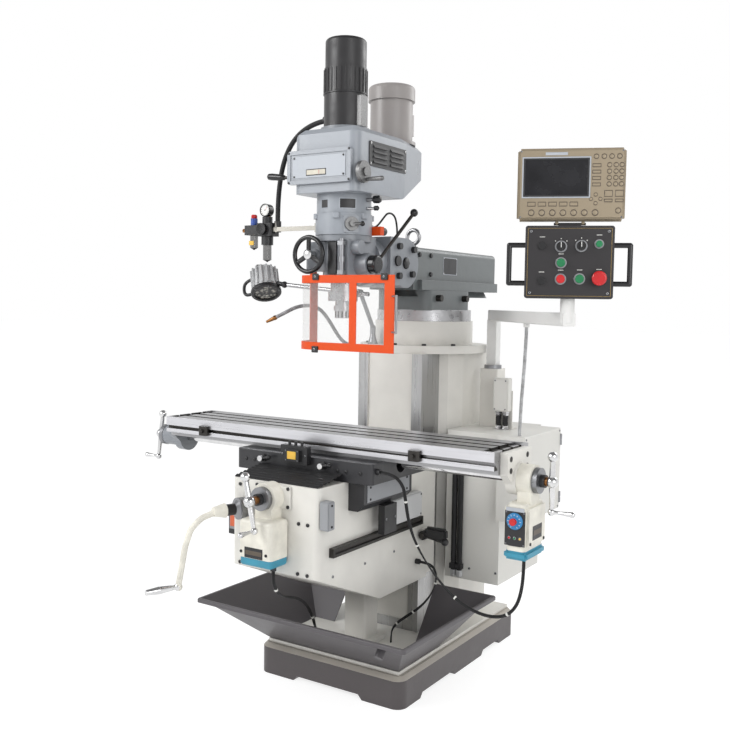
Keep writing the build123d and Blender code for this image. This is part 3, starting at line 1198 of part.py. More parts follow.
def speed_crank():
    x = BELT_HALF + SKIN_GAP
    z = BELT_LOW + SPEED_CRANK_RISE
    y = SPEED_CRANK_Y
    crank = rod((x, y, z), (x + 10, y, z), 20)
    crank += rod((x + 10, y, z), (x + 24, y, z), SPEED_CRANK_R)
    crank += rod((x + 24, y, z), (x + 30, y, z), 14)
    crank += taper((x + 24, y + 10, z - 24), (x + 84, y + 10, z - 24), 6, 8)
    return crank + ball((x + 84, y + 10, z - 24), 8)


def range_knob():
    turn = Pos(0, SPINDLE_Y, 0) * Rot(0, 0, RANGE_ANGLE)
    z = (HEAD_TOP + GEAR_TOP) / 2 - 1
    y = -GEAR_RING_R - 3 - SKIN_GAP
    knob = rod((0, y, z), (0, y - 8, z), RANGE_DIAL_R)
    knob += rod((0, y - 8, z), (0, y - 20, z), 10)
    knob += rod((0, y - 15, z), (30, y - 22, z), 5)
    knob += ball((33, y - 22.7, z), 9)
    return turn * knob


def quill_lever():
    x = BARREL_R + 50 + SKIN_GAP
    hub_mid = (x + 16, LEVER_Y, LEVER_Z)
    hub = rod((x, LEVER_Y, LEVER_Z), (x + 30, LEVER_Y, LEVER_Z), LEVER_HUB_R)
    hub = fillet(hub.faces().sort_by(Axis.X)[-1].edges(), 8)
    hub += rod(hub_mid, LEVER_BALL, 6)
    return hub + ball(LEVER_BALL, 14)


def feed_handwheel():
    rim = Pos(WHEEL_X, WHEEL_Y - 6, WHEEL_Z) * Rot(90, 0, 0) * Torus(WHEEL_R - WHEEL_RIM_R, WHEEL_RIM_R)
    hub = rod((WHEEL_X, WHEEL_Y + 22 - SKIN_GAP, WHEEL_Z), (WHEEL_X, WHEEL_Y - 14, WHEEL_Z), 14)
    wheel = rim + hub
    for angle in (90, 210, 330):
        tip = (WHEEL_X + (WHEEL_R - 6) * math.cos(math.radians(angle)), WHEEL_Y - 6,
               WHEEL_Z + (WHEEL_R - 6) * math.sin(math.radians(angle)))
        wheel += taper((WHEEL_X, WHEEL_Y - 2, WHEEL_Z), tip, 7, 5)
    return wheel


def quill():
    top = HEAD_TOP - 12
    body = disc(0, SPINDLE_Y, QUILL_NOSE_Z, top, QUILL_R)
    body += disc(0, SPINDLE_Y, QUILL_NOSE_Z, QUILL_NOSE_Z + QUILL_NOSE, QUILL_NOSE_R)
    return body - disc(0, SPINDLE_Y, QUILL_NOSE_Z - 1, top + 1, SPINDLE_R + RUN_FIT)


def spindle():
    low = QUILL_NOSE_Z - SLIDE_GAP - SPINDLE_NOSE
    body = disc(0, SPINDLE_Y, low, low + SPINDLE_NOSE, SPINDLE_NOSE_R)
    body += disc(0, SPINDLE_Y, low, HEAD_TOP - 16, SPINDLE_R)
    body += disc(0, SPINDLE_Y, low + 26, low + 44, SPINDLE_NOSE_R + 5)
    return body - disc(0, SPINDLE_Y, low, low + SPINDLE_BORE, SPINDLE_BORE_R)


# Guard
def guard_wall(inner, outer, z0, z1, x_end):
    """The guard's wall between two offsets from its inside face: bent round on the left, flat in front."""
    cx = GUARD_LEFT_X + GUARD_BEND_R
    cy = GUARD_FRONT + GUARD_BEND_R
    bend = disc(cx, cy, z0, z1, GUARD_BEND_R - inner) - disc(cx, cy, z0, z1, GUARD_BEND_R - outer)
    bend = bend & block(cx - GUARD_BEND_R, cx, cy - GUARD_BEND_R, cy, z0, z1)
    front = block(cx, x_end, GUARD_FRONT + inner, GUARD_FRONT + outer, z0, z1)
    side = block(GUARD_LEFT_X + inner, GUARD_LEFT_X + outer, cy, GUARD_PIVOT_Y + 24, z0, z1)
    return bend + front + side


def guard_frame():
    sheet = GUARD_SHEET
    frame = guard_wall(0, sheet, GUARD_LOW, GUARD_LOW + GUARD_BAR, GUARD_RIGHT_X)
    frame += guard_wall(0, sheet, GUARD_HIGH - GUARD_BAR, GUARD_HIGH, GUARD_RIGHT_X)
    for x0, width in ((GUARD_POST_X, GUARD_POST), (GUARD_RIGHT_X - GUARD_END_POST, GUARD_END_POST)):
        frame += block(x0, x0 + width, GUARD_FRONT, GUARD_FRONT + sheet, GUARD_LOW, GUARD_HIGH)
    back = GUARD_PIVOT_Y + 24
    frame += block(GUARD_LEFT_X, GUARD_LEFT_X + sheet, back - 44, back, GUARD_LOW, GUARD_HIGH)
    top = GUARD_HIGH + 84 - SKIN_GAP
    arm = disc(GUARD_LEFT_X, GUARD_PIVOT_Y, GUARD_HIGH, top, 13)
    arm -= disc(GUARD_LEFT_X, GUARD_PIVOT_Y, GUARD_HIGH + 19, top + 1, GUARD_PIVOT_R + RUN_FIT)
    frame += arm
    handle_x = GUARD_RIGHT_X - 8
    for z in (GUARD_LOW + 70, GUARD_HIGH - 70):
        frame += rod((handle_x, GUARD_FRONT + 1, z), (handle_x + 26, GUARD_FRONT - 16, z), 3)
    frame += rod((handle_x + 26, GUARD_FRONT - 16, GUARD_LOW + 66), (handle_x + 26, GUARD_FRONT - 16, GUARD_HIGH - 66), 4)
    return frame


def guard_window():
    low = GUARD_LOW + 8
    high = GUARD_HIGH - 8
    return guard_wall(GUARD_SHEET, GUARD_SHEET + 2, low, high, GUARD_RIGHT_X - 8)


# Pendant
def pendant_arm():
    half = ARM_TUBE / 2
    arm = disc(POST_X, POST_Y, POST_TOP - 100, POST_TOP + 14 + SKIN_GAP, half - 4)
    leg = block(POST_X - half, POST_X + half, POST_Y - half, POST_Y + half, POST_TOP + 14 + SKIN_GAP, ARM_Z + 4)
    reach = math.dist((POST_X, POST_Y), (PENDANT_X, PENDANT_Y))
    heading = math.degrees(math.atan2(PENDANT_Y - POST_Y, PENDANT_X - POST_X))
    swing = Pos(POST_X, POST_Y, 0) * Rot(0, 0, heading)
    arm += swing * Rot(0, 0, -heading) * Pos(-POST_X, -POST_Y, 0) * leg
    tube = block(-half, reach + half, -half, half, ARM_Z, ARM_Z + ARM_HEIGHT)
    arm += swing * rounded(tube, Axis.X, 5)
    arm += disc(PENDANT_X, PENDANT_Y, ARM_Z + 10, STUB_TOP, STUB_R)
    exit_x, exit_y = ARM_EXIT
    return arm + disc(exit_x, exit_y, ARM_Z - 14, ARM_Z + 4, 11)


ARM_EXIT = (560, -67)


def panel_box(frame, width, height, depth):
    """A sheet case with its front on the frame's plane, and the cover that closes its back."""
    outer = Box(width, height, depth, align=(Align.CENTER, Align.CENTER, Align.CENTER))
    outer = rounded(outer, Axis.Z, 8)
    inner = Pos(0, 0, -BOX_SHEET) * Box(width - 2 * BOX_SHEET, height - 2 * BOX_SHEET, depth)
    cover = Pos(0, 0, -depth / 2 - 1.5) * Box(width - 6, height - 6, 3)
    return frame * (outer - inner), frame * cover


def control_box():
    case, cover = panel_box(PANEL, BOX_WIDTH, BOX_HEIGHT, BOX_DEPTH)
    face = BOX_DEPTH / 2
    for u, w, radius in BUTTON_PLACES:
        case += PANEL * Pos(u, w, face) * Cylinder(radius + 4, 4, align=STAND)
    for u, w, radius in (*PUSH_PLACES, STOP_PLACE):
        case -= PANEL * Pos(u, w, face - BOX_SHEET) * Cylinder(radius - 4 + SKIN_GAP, BOX_SHEET + 4, align=STAND)
    for w in (49, -57):
        case += PANEL * Pos(-81, w, face) * Cylinder(12, 7, align=STAND)
    for side in (-1, 1):
        edge = side * BOX_WIDTH / 2
        out = edge + side * 48
        for w in (52, -64):
            case += PANEL * rod((edge - side, w, 20), (out, w, 20), 8)
            case += PANEL * ball((out, w, 20), 8)
        case += PANEL * rod((out, 52, 20), (out, -64, 20), 8)
    pin_w = BOX_HEIGHT / 2 + DRO_LIFT / 2
    case += PANEL * Pos(0, BOX_HEIGHT / 2, 0) * Box(2 * HINGE_HALF, DRO_LIFT + 6, 10)
    case += PANEL * rod((-HINGE_HALF - 14, pin_w, 0), (HINGE_HALF + 14, pin_w, 0), HINGE_PIN_R)
    return case, cover


SELECTOR_PLACES = ((-25, 47, 14), (35, 49, 14))
PUSH_PLACES = ((-24, -51, BUTTON_R), (-24, -2, BUTTON_R), (32, -50, BUTTON_R), (87, 55, 10))
STOP_PLACE = (89, -48, 15)
BUTTON_PLACES = (*SELECTOR_PLACES, *PUSH_PLACES, STOP_PLACE)
BUTTON_TRAVEL = 5


def push_button(u, w, radius):
    low = BOX_DEPTH / 2 + 4 + BUTTON_TRAVEL + SKIN_GAP
    cap = Pos(u, w, low) * Cylinder(radius, 6, align=STAND)
    cap = fillet(cap.faces().sort_by(Axis.Z)[-1].edges(), 2)
    stem = Pos(u, w, BOX_DEPTH / 2 + 4 + SLIDE_GAP) * Cylinder(radius - 4, low - BOX_DEPTH / 2 - 4, align=STAND)
    return PANEL * (cap + stem)


def estop_button():
    u, w, radius = STOP_PLACE
    low = BOX_DEPTH / 2 + 4 + SLIDE_GAP
    stem = Pos(u, w, low) * Cylinder(radius - 4, 18, align=STAND)
    cap = Pos(u, w, low + 16) * Cylinder(22, 14, align=STAND)
    return PANEL * (stem + fillet(cap.faces().sort_by(Axis.Z)[-1].edges(), 6))


def selector(u, w, radius):
    low = BOX_DEPTH / 2 + 4 + SLIDE_GAP
    knob = Pos(u, w, low) * Cylinder(radius, 10, align=STAND)
    wing = Pos(u, w, low + 15) * Box(10, 2 * radius - 2, 14)
    return PANEL * (knob + wing)


def dro_unit():
    case, cover = panel_box(READOUT, DRO_WIDTH, DRO_HEIGHT, DRO_DEPTH)
    face = DRO_DEPTH / 2
    screen = Pos(-52, 34, face - 2) * Box(190, 122, 8)
    case -= READOUT * screen
    keys = []
    for column_u in range(4):
        for row in range(5):
            keys.append(Pos(70 + 22 * column_u, 76 - 26 * row, face) * Box(17, 19, 4))
    for column_u in range(8):
        keys.append(Pos(-136 + 24 * column_u, -72, face) * Box(18, 17, 4))
    for key in keys:
        case += READOUT * key
    pin_w = -DRO_HEIGHT / 2 - DRO_LIFT / 2
    for side in (-1, 1):
        inner = side * (HINGE_HALF + SKIN_GAP)
        outer = inner + side * 10
        lug = rod((inner, pin_w, 0), (outer, pin_w, 0), HINGE_LUG_R)
        lug += Pos((inner + outer) / 2, pin_w / 2 - DRO_HEIGHT / 4 + 1, 0) * Box(10, DRO_LIFT / 2 + 2, 2 * HINGE_LUG_R)
        lug -= rod((inner - side, pin_w, 0), (outer + side, pin_w, 0), HINGE_PIN_R + RUN_FIT)
        case += READOUT * lug
    return case, cover


def build():
    os.makedirs("parts", exist_ok=True)
    node("base_casting", base_casting())
    node("chip_tray", chip_tray())
    node("column", column())
    node("column_fittings", screw_pedestal(), lamp_foot(), pendant_post(), conduit_bracket())
    node("electrical_cabinet", *electrical_cabinet())
    node("cabinet_door", cabinet_door())
    node("coolant_gooseneck", *coolant_gooseneck())
    node("lamp_lower_link", lamp_lower_link())
    node("lamp_rod", lamp_rod())
    node("lamp_head", lamp_head())
    node("knee", knee())
    node("knee_fittings", *knee_fittings())
    node("y_feed_unit", *y_feed_unit())
    node("knee_lock_lever", knee_lock_lever())
    node("z_crank", z_crank())
    node("elevating_screw", elevating_screw())
    node("y_screw", y_screw())
    node("way_cover", way_cover())
    node("saddle", saddle())
    node("saddle_fittings", *saddle_fittings())
    for name, x in zip(("table_lock_left", "table_lock_right"), LOCK_PLACES):
        node(name, table_lock(x))
    node("table", table())
    node("table_fittings", *table_fittings())
    node("x_feed_unit", *x_feed_unit())
    node("x_feed_knob", x_feed_knob())
    node("x_screw", x_screw())
    node("turret", turret())
    node("ram", *ram())
    node("knuckle", knuckle())
    node("head_casting", head_casting())
    node("gear_housing", gear_housing())
    node("belt_housing", *belt_housing())
    node("drive_motor", drive_motor())
    node("drawbar_unit", drawbar_unit())
    node("head_fittings", *head_fittings())
    node("air_unit", air_unit())
    node("speed_crank", speed_crank())
    node("range_knob", range_knob())
    node("quill_lever", quill_lever())
    node("feed_handwheel", feed_handwheel())
    node("quill", quill())
    node("spindle", spindle())
    node("guard_frame", guard_frame())
    node("guard_window", guard_window())
    node("pendant_arm", pendant_arm())
    node("control_box", *control_box())
    node("estop_button", estop_button())
    for name, place in zip(("stop_button", "start_button", "coolant_button", "power_button"), PUSH_PLACES):
        node(name, push_button(*place))
    for name, place in zip(("selector_left", "selector_right"), SELECTOR_PLACES):
        node(name, selector(*place))
    node("dro_unit", *dro_unit())
    node("drawbar_hose", cord("drawbar_hose", HOSE_ROUTE, HOSE_R))
    node("x_feed_cable", cord("x_feed_cable", X_FEED_ROUTE, FEED_CABLE_R))
    node("knee_cables", cord("knee_side_cable", KNEE_SIDE_ROUTE, KNEE_SIDE_R),
         cord("y_feed_cable", Y_FEED_ROUTE, FEED_CABLE_R))
    node("pendant_cable", cord("pendant_cable", PENDANT_ROUTE, PENDANT_CABLE_R))
    node("switch_cable", cord("switch_cable", SWITCH_ROUTE, SWITCH_CABLE_R))


build()
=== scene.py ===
import json
import math
from itertools import product

import bmesh
import bpy
from mathutils import Matrix, Vector


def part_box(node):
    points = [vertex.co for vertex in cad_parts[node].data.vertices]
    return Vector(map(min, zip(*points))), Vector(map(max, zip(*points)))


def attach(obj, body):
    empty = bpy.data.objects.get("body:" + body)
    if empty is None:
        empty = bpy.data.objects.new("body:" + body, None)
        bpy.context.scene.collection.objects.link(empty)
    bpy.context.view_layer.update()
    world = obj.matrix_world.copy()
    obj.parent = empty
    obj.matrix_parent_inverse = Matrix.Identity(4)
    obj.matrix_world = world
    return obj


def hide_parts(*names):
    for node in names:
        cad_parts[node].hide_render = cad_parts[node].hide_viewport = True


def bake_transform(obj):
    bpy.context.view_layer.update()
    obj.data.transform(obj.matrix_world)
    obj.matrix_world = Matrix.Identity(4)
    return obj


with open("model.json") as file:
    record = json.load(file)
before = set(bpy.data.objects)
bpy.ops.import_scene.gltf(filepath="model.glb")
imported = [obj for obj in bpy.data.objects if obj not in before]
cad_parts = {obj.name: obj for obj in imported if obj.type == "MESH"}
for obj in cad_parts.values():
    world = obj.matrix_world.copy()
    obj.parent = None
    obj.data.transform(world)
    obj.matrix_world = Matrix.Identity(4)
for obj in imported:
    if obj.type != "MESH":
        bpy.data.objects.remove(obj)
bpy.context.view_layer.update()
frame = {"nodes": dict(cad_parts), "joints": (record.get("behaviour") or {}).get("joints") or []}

NODES = frame["nodes"]
JOINTS = {joint["name"]: joint for joint in frame["joints"]}
MM = 0.001
FAR = 5000
ANY = (-FAR, FAR)
UP = Vector((0, 0, 1))
DOWN = -UP
FRONT = Vector((0, -1, 0))
RIGHT = Vector((1, 0, 0))
LEFT = -RIGHT

# Camera, from the photograph's perspective
IMAGE_PX = 730
FOCAL_PX = 923
SENSOR = 36
CLIP_END = 120
CAMERA_PLACE = Vector((1.8620, -3.0953, 1.3886))
CAMERA_TURN = math.radians(33.1505)
CAMERA_PITCH = math.radians(-3.8932)
CAMERA_ROLL = math.radians(0.8505)

# Light: name, place, size and power of each lamp, in metres and watts
LIGHT_AIM = Vector((0.1, -0.3, 1.1))
LIGHTS = (
    ("key", (-2.4, -3.8, 3.4), 2.6, 120),
    ("fill", (3.6, -2.2, 2.2), 2.4, 45),
    ("back", (1.8, 3.4, 3.6), 2.6, 60),
)
PURE_WHITE = (1, 1, 1, 1)
AMBIENT = 0.62
CEILING = {"From Min": 0.30, "From Max": 0.75, "To Min": 1.0, "To Max": 0.28}
FLOOR_HALF = 45
FLOOR_WHITE = (0.9, 0.9, 0.9, 1)
FLOOR_ROUGHNESS = 0.9
FLOOR_GLOW = 1.3
FLOOR_GLOW_SHARE = 0.6

# The machine's main lines and faces in millimetres, from the joints and the parts' boxes
TABLE_Y = -448
SPINDLE_Y = -394
SPINDLE = Vector((0, SPINDLE_Y, 0))
X_SCREW = (Vector((0, TABLE_Y, 849)), RIGHT)
TURRET_FOOT = Vector((0, 190, 1225))
GEAR_R = 96
KNEE_FRONT = -776
KNEE_SIDE = 178
Y_FEED_FRONT = -871
SWITCH_BOX_FRONT = -664.3
FEED_X = 735.8
FEED_FRONT = -523.5
FEED_SIDE = FEED_X + 41
RAM_SIDE = 98
HEAD_FRONT = -528
GUARD_FRONT = -530
LAMP_AIM = Vector((0.42, -0.36, -0.83)).normalized()
LAMP_MIDDLE = Vector((-470, -254, 1460))
LAMP_LINK_Y = -190
PANEL_SIDE = -Vector(JOINTS["readout_tilt"]["axis"])
PANEL_OUT = Vector(JOINTS["selector_left_turn"]["axis"])
PANEL_AXES = Matrix((PANEL_SIDE, UP, PANEL_OUT)).transposed()
PANEL_PLACE = Vector(JOINTS["pendant_swivel"]["pos_m"]) / MM
BOX_MIDDLE = 1518.3
READOUT_MIDDLE = 1754.3
BOX_FACE = 40
READOUT_FACE = 26
SELECTORS = (("left", -25, 47), ("right", 35, 49))

# Sizes of repeated shapes
SMOOTH_BELOW = math.radians(38)
DIAL_TICKS = 50
TICK_LENGTH = 5
NEEDLE_TURN = -40.107
COVER_FOLDS = 7
FOLD_HEIGHT = 0.0035
COVER_SHEET = 0.0022
COVER_ROOM = 0.006
COOLANT_R = 0.007
COOLANT_PITCH = 0.0052
CONDUIT_END = [(0.2, 15), (6, 15), (7, 12.5), (15, 12.5), (16, 11)]
CONDUIT_COLLAR = [(0, 11.5), (2, 13), (20, 13), (24, 11.5)]
HINGE = [(0, 5), (1, 6), (20, 6), (21, 5), (23, 5), (24, 6), (43, 6), (44, 5)]

# Cords: routes in millimetres, as the part has them
COOLANT_ROUTE = [
    (-186, 10, 1211), (-216, -20, 1211), (-240, -57, 1236), (-249, -100, 1289), (-254, -135, 1328),
    (-259, -173, 1359), (-272, -219, 1375), (-300, -270, 1368), (-336, -298, 1343), (-368, -314, 1325),
]
HOSE_ROUTE = [
    (-89.5, -394, 2028), (-126.6, -394, 2024.3), (-182, -394, 2004), (-224, -394, 1973), (-255, -394, 1931),
    (-275, -394, 1883), (-287, -394, 1831), (-294, -394, 1779), (-297, -394, 1719.5), (-297, -394, 1682.3),
]
X_FEED_ROUTE = [
    (735.8, -448, 594.7), (735.8, -448, 552.1), (731, -449, 495), (717, -450, 444), (685, -451, 406),
    (635, -451, 391), (579, -451, 395), (529, -453, 413), (485, -456, 441), (446, -461, 477),
    (409, -468, 522), (384, -478, 564), (370, -497, 609), (369, -522, 651), (373, -551, 703),
    (378, -575, 762), (378, -591, 809), (344.2, -600, 842), (298.3, -600, 842),
]
KNEE_SIDE_ROUTE = [
    (194.6, -150, 428), (228, -150, 428), (256, -152, 417), (271, -158, 390), (270, -167, 354),
    (257, -178, 318), (235, -188, 286), (207, -197, 258), (174, -206, 232), (142, -212, 206),
    (120, -216, 178), (115, -216, 148), (115, -216, 124.3),
]
Y_FEED_ROUTE = [
    (40, -823.8, 527.7), (40, -823.8, 490), (43, -810, 455), (45, -776, 432), (44, -736, 419),
    (39, -692, 403), (29, -650, 380), (14, -609, 353), (-4, -569, 324), (-23, -530, 293),
    (-42, -493, 260), (-62, -457, 226), (-83, -422, 196), (-104, -392, 162), (-104, -392, 124.3),
]
PENDANT_ROUTE = [
    (560, -67, 1308.7), (560, -67, 1278), (553, -56, 1225), (546, -43, 1180), (536, -27, 1131),
    (527, -12, 1086), (517, 4, 1038), (510, 17, 992), (503, 28, 939), (503, 28, 908.3),
]
SWITCH_ROUTE = [
    (66, -311.7, 1655), (66, -293, 1655), (70, -272, 1670), (77, -250, 1696), (80, -233, 1711),
    (80, -203, 1713), (79, -178, 1702), (78, -165, 1679), (77.5, -158.8, 1648.3), (77.5, -158.8, 1627.3),
]


# Nodes and materials
class Nodes:
    """Adds shader nodes to a world or a material, with links or values at their inputs."""

    def __init__(self, owner):
        owner.use_nodes = True
        self.tree = owner.node_tree

    def feed(self, socket, value):
        if isinstance(value, bpy.types.NodeSocket):
            self.tree.links.new(value, socket)
        else:
            socket.default_value = value

    def add(self, kind, inputs=None, **properties):
        node = self.tree.nodes.new("ShaderNode" + kind)
        for name, value in properties.items():
            setattr(node, name, value)
        for key, value in (inputs or {}).items():
            self.feed(node.inputs[key], value)
        return node

    def set(self, node, **settings):
        for key, value in settings.items():
            self.feed(self.tree.nodes[node].inputs[key.replace("_", " ")], value)

    def calc(self, operation, first, second):
        return self.add("Math", {0: first, 1: second}, operation=operation).outputs["Value"]

    def background_rays(self):
        """One where a ray shows the background: straight from the camera, off metal or through glass."""
        path = self.add("LightPath").outputs
        seen = self.calc("MAXIMUM", path["Is Camera Ray"], path["Is Glossy Ray"])
        return self.calc("MAXIMUM", seen, path["Is Transmission Ray"])

    def show(self, output, share, first, second):
        mixed = self.add("MixShader", {"Fac": share, 1: first, 2: second}).outputs["Shader"]
        self.set(output, Surface=mixed)


def srgb(red, green, blue):
    """A colour by its screen values, 0 to 255, as the linear colour that a shader takes."""
    shares = [value / 255 for value in (red, green, blue)]
    linear = [share / 12.92 if share <= 0.04045 else ((share + 0.055) / 1.055) ** 2.4 for share in shares]
    return (*linear, 1)


class Graph(Nodes):
    """A procedural material built round one Principled shader, in the object's own coordinates."""

    def __init__(self, name, screen=(0, 0, 0), **settings):
        self.material = bpy.data.materials.new(name)
        super().__init__(self.material)
        self.colour = srgb(*screen)
        self.place = self.add("TexCoord").outputs["Object"]
        self.set("Principled BSDF", **settings)

    def made(self, tone, rough, **more):
        self.set("Principled BSDF", Base_Color=tone, Roughness=rough, **more)
        return self.material

    def noise(self, scale, detail, stretch=None):
        place = self.place
        if stretch:
            place = self.add("Mapping", {"Vector": place, "Scale": stretch}).outputs["Vector"]
        return self.add("TexNoise", {"Vector": place, "Scale": scale, "Detail": detail}).outputs[0]

    def ramp(self, share, *stops):
        node = self.add("ValToRGB", {"Fac": share})
        for point, (position, colour) in zip(node.color_ramp.elements, stops):
            point.position = position
            point.color = colour
        return node.outputs["Color"]

    def shade(self, factor):
        return (*[min(1.0, part * factor) for part in self.colour[:3]], 1)

    def shades(self, share, dark, light, start=0.3, end=0.7):
        """From a darker to a lighter shade of the colour."""
        return self.ramp(share, (start, self.shade(dark)), (end, self.shade(light)))

    def span(self, share, low, high, start=0.3, end=0.7):
        inputs = {"Value": share, "From Min": start, "From Max": end, "To Min": low, "To Max": high}
        return self.add("MapRange", inputs).outputs["Result"]

    def times(self, first, second):
        return self.calc("MULTIPLY", first, second)

    def mix(self, share, first, second):
        return self.add("Mix", {0: share, 6: first, 7: second}, data_type="RGBA").outputs[2]

    def cover(self, share, tone, factor):
        """Another shade of the colour, laid over a tone by its share."""
        return self.mix(share, tone, self.shade(factor))

    def rounded(self, radius):
        return self.add("Bevel", {"Radius": radius}, samples=4).outputs["Normal"]

    def bump(self, height, distance, under=None):
        inputs = {"Height": height, "Distance": distance}
        if under:
            inputs["Normal"] = under
        return self.add("Bump", inputs).outputs["Normal"]

    def edges(self, soft):
        """One along sharp edges, where the rounded normal leaves the face's own."""
        face = self.add("NewGeometry").outputs["Normal"]
        dot = self.add("VectorMath", {0: soft, 1: face}, operation="DOT_PRODUCT").outputs["Value"]
        return self.span(dot, 1, 0, 0.80, 0.98)

    def crevice_shade(self, distance):
        # Painted shade: a mask that is one in corners, creases and recesses, where ambient occlusion finds
        # near surfaces.
        open_share = self.add("AmbientOcclusion", {"Distance": distance}, samples=4).outputs["AO"]
        return self.span(open_share, 1, 0, 0.25, 0.85)


def cast_paint(name, screen, roughness=0.4, dirt=0.35):
    """Sprayed paint over a filled casting: orange peel, soft hollows, painted shade with patchy grime in
    corners, worn edges.
    """
    g = Graph(name, screen, Specular_IOR_Level=0.45, Coat_Weight=0.12, Coat_Roughness=0.2)
    cloud = g.noise(7, 5)
    soft = g.rounded(0.0022)
    # Painted shade: the colour darkens in corners and recesses, in patches where grime also gathers.
    shade_and_grime = g.times(g.crevice_shade(0.05), g.span(g.noise(38, 4), 0.3 * dirt, dirt))
    wear = g.times(g.edges(soft), g.span(g.noise(60, 4), 0.0, 0.5, 0.45, 0.7))
    tone = g.cover(shade_and_grime, g.shades(cloud, 0.93, 1.05), 0.42)
    tone = g.cover(wear, tone, 1.35)
    hollows = g.bump(g.noise(24, 2), 0.0009, soft)
    peel = g.bump(g.noise(330, 2), 0.00022, hollows)
    return g.made(tone, g.span(cloud, roughness - 0.07, roughness + 0.08), Normal=peel)


def powder_coat(name, screen, roughness=0.45):
    """A thin pebbled coat on sheet steel, with painted shade and patchy grime in corners."""
    g = Graph(name, screen, Specular_IOR_Level=0.4)
    cloud = g.noise(4, 4)
    # Painted shade: darker in corners and recesses, in patches of grime.
    shade_and_grime = g.times(g.crevice_shade(0.03), g.span(g.noise(45, 4), 0.08, 0.3))
    tone = g.cover(shade_and_grime, g.shades(cloud, 0.95, 1.03), 0.5)
    pebble = g.bump(g.noise(900, 1), 0.00012, g.rounded(0.0012))
    return g.made(tone, g.span(cloud, roughness - 0.05, roughness + 0.06), Normal=pebble)


def ground_steel(name, screen, grain, roughness=0.3, stain=0.25):
    """Ground metal with scratches along one axis, dull oil stains, brighter edges and painted shade in
    corners.
    """
    g = Graph(name, screen, Metallic=0.9)
    scratch = g.noise(60, 4, grain)
    soft = g.rounded(0.0008)
    tone = g.shades(scratch, 0.94, 1.05)
    tone = g.cover(g.span(g.noise(9, 6), 0.0, stain, 0.5, 0.75), tone, 0.55)
    tone = g.cover(g.times(g.edges(soft), 0.5), tone, 1.3)
    # Painted shade: darker in corners and recesses.
    tone = g.cover(g.times(g.crevice_shade(0.02), 0.6), tone, 0.25)
    rough = g.span(scratch, roughness - 0.08, roughness + 0.14)
    return g.made(tone, rough, Normal=g.bump(scratch, 0.00001, soft))


def turned_steel(name, screen, roughness):
    """Machined bright metal with fine tool marks and a few dull spots."""
    g = Graph(name, screen, Metallic=0.9)
    spots = g.noise(30, 5)
    soft = g.rounded(0.0008)
    tone = g.cover(g.times(g.edges(soft), 0.4), g.shades(spots, 0.88, 1.04, 0.35, 0.65), 1.3)
    marks = g.bump(g.noise(420, 2, (1, 1, 4)), 0.000008, soft)
    return g.made(tone, g.span(spots, roughness - 0.07, roughness + 0.09), Normal=marks)


def rough_cast(name, screen):
    """Sand-cast light metal, left as it came from the mould and tumbled."""
    g = Graph(name, screen, Metallic=0.8)
    lumps = g.noise(160, 5)
    # Painted shade: darker in corners and recesses.
    tone = g.cover(g.times(g.crevice_shade(0.02), 0.5), g.shades(lumps, 0.55, 1.1), 0.25)
    return g.made(tone, g.span(lumps, 0.32, 0.6), Normal=g.bump(lumps, 0.0007, g.rounded(0.0015)))


def chrome(name):
    """Polished plate with finger smudges, and painted shade, near black, in its corners."""
    g = Graph(name, Metallic=1.0)
    smudge = g.noise(26, 5)
    tone = g.ramp(smudge, (0.3, (0.58, 0.58, 0.59, 1)), (0.7, (0.72, 0.72, 0.72, 1)))
    # Painted shade: near black in corners and recesses.
    tone = g.mix(g.times(g.crevice_shade(0.015), 0.75), tone, (0.06, 0.06, 0.065, 1))
    return g.made(tone, g.span(smudge, 0.06, 0.18), Normal=g.rounded(0.0015))


def plastic(name, screen, roughness=0.42, grain=0.00007):
    """Moulded plastic with a fine spark grain and rubbed edges."""
    g = Graph(name, screen, Specular_IOR_Level=0.5)
    cloud = g.noise(22, 4)
    soft = g.rounded(0.001)
    tone = g.cover(g.times(g.edges(soft), 0.35), g.shades(cloud, 0.88, 1.1), 1.9)
    spark = g.bump(g.noise(1500, 1), grain, soft)
    return g.made(tone, g.span(cloud, roughness - 0.08, roughness + 0.1), Normal=spark)


def rubber(name, screen, roughness=0.6):
    """Cable sheath or sheet rubber: dull, finely pitted, dusty in patches."""
    g = Graph(name, screen, Specular_IOR_Level=0.35)
    dust = g.noise(40, 5)
    rough = g.span(dust, roughness - 0.1, roughness + 0.15)
    return g.made(g.shades(dust, 1, 2, 0.35, 0.75), rough, Normal=g.bump(g.noise(700, 2), 0.00012))


def clear_sheet(name, screen, alpha):
    """Clear polycarbonate or glass with wiped scratches."""
    g = Graph(name, screen, Alpha=alpha, Specular_IOR_Level=0.6)
    swirl = g.noise(120, 4, (1, 1, 0.1))
    return g.made(g.shades(swirl, 0.9, 1, 0.4, 0.7), g.span(swirl, 0.03, 0.12, 0.55, 0.8))


def anodised(name, screen, metallic=0.75):
    """Brushed and anodised aluminium."""
    g = Graph(name, screen, Metallic=metallic)
    hair = g.noise(140, 3, (1, 1, 40))
    # Painted shade: darker in corners and recesses.
    tone = g.cover(g.times(g.crevice_shade(0.012), 0.5), g.shades(hair, 0.92, 1.06), 0.3)
    return g.made(tone, g.span(hair, 0.36, 0.5), Normal=g.bump(hair, 0.00002, g.rounded(0.002)))


def screen_glass(name):
    """A dark display under gloss glass with a few smears."""
    g = Graph(name, Specular_IOR_Level=0.3)
    smear = g.noise(20, 5)
    tone = g.ramp(smear, (0.3, (0.006, 0.006, 0.008, 1)), (0.7, (0.014, 0.014, 0.017, 1)))
    return g.made(tone, g.span(smear, 0.16, 0.32))


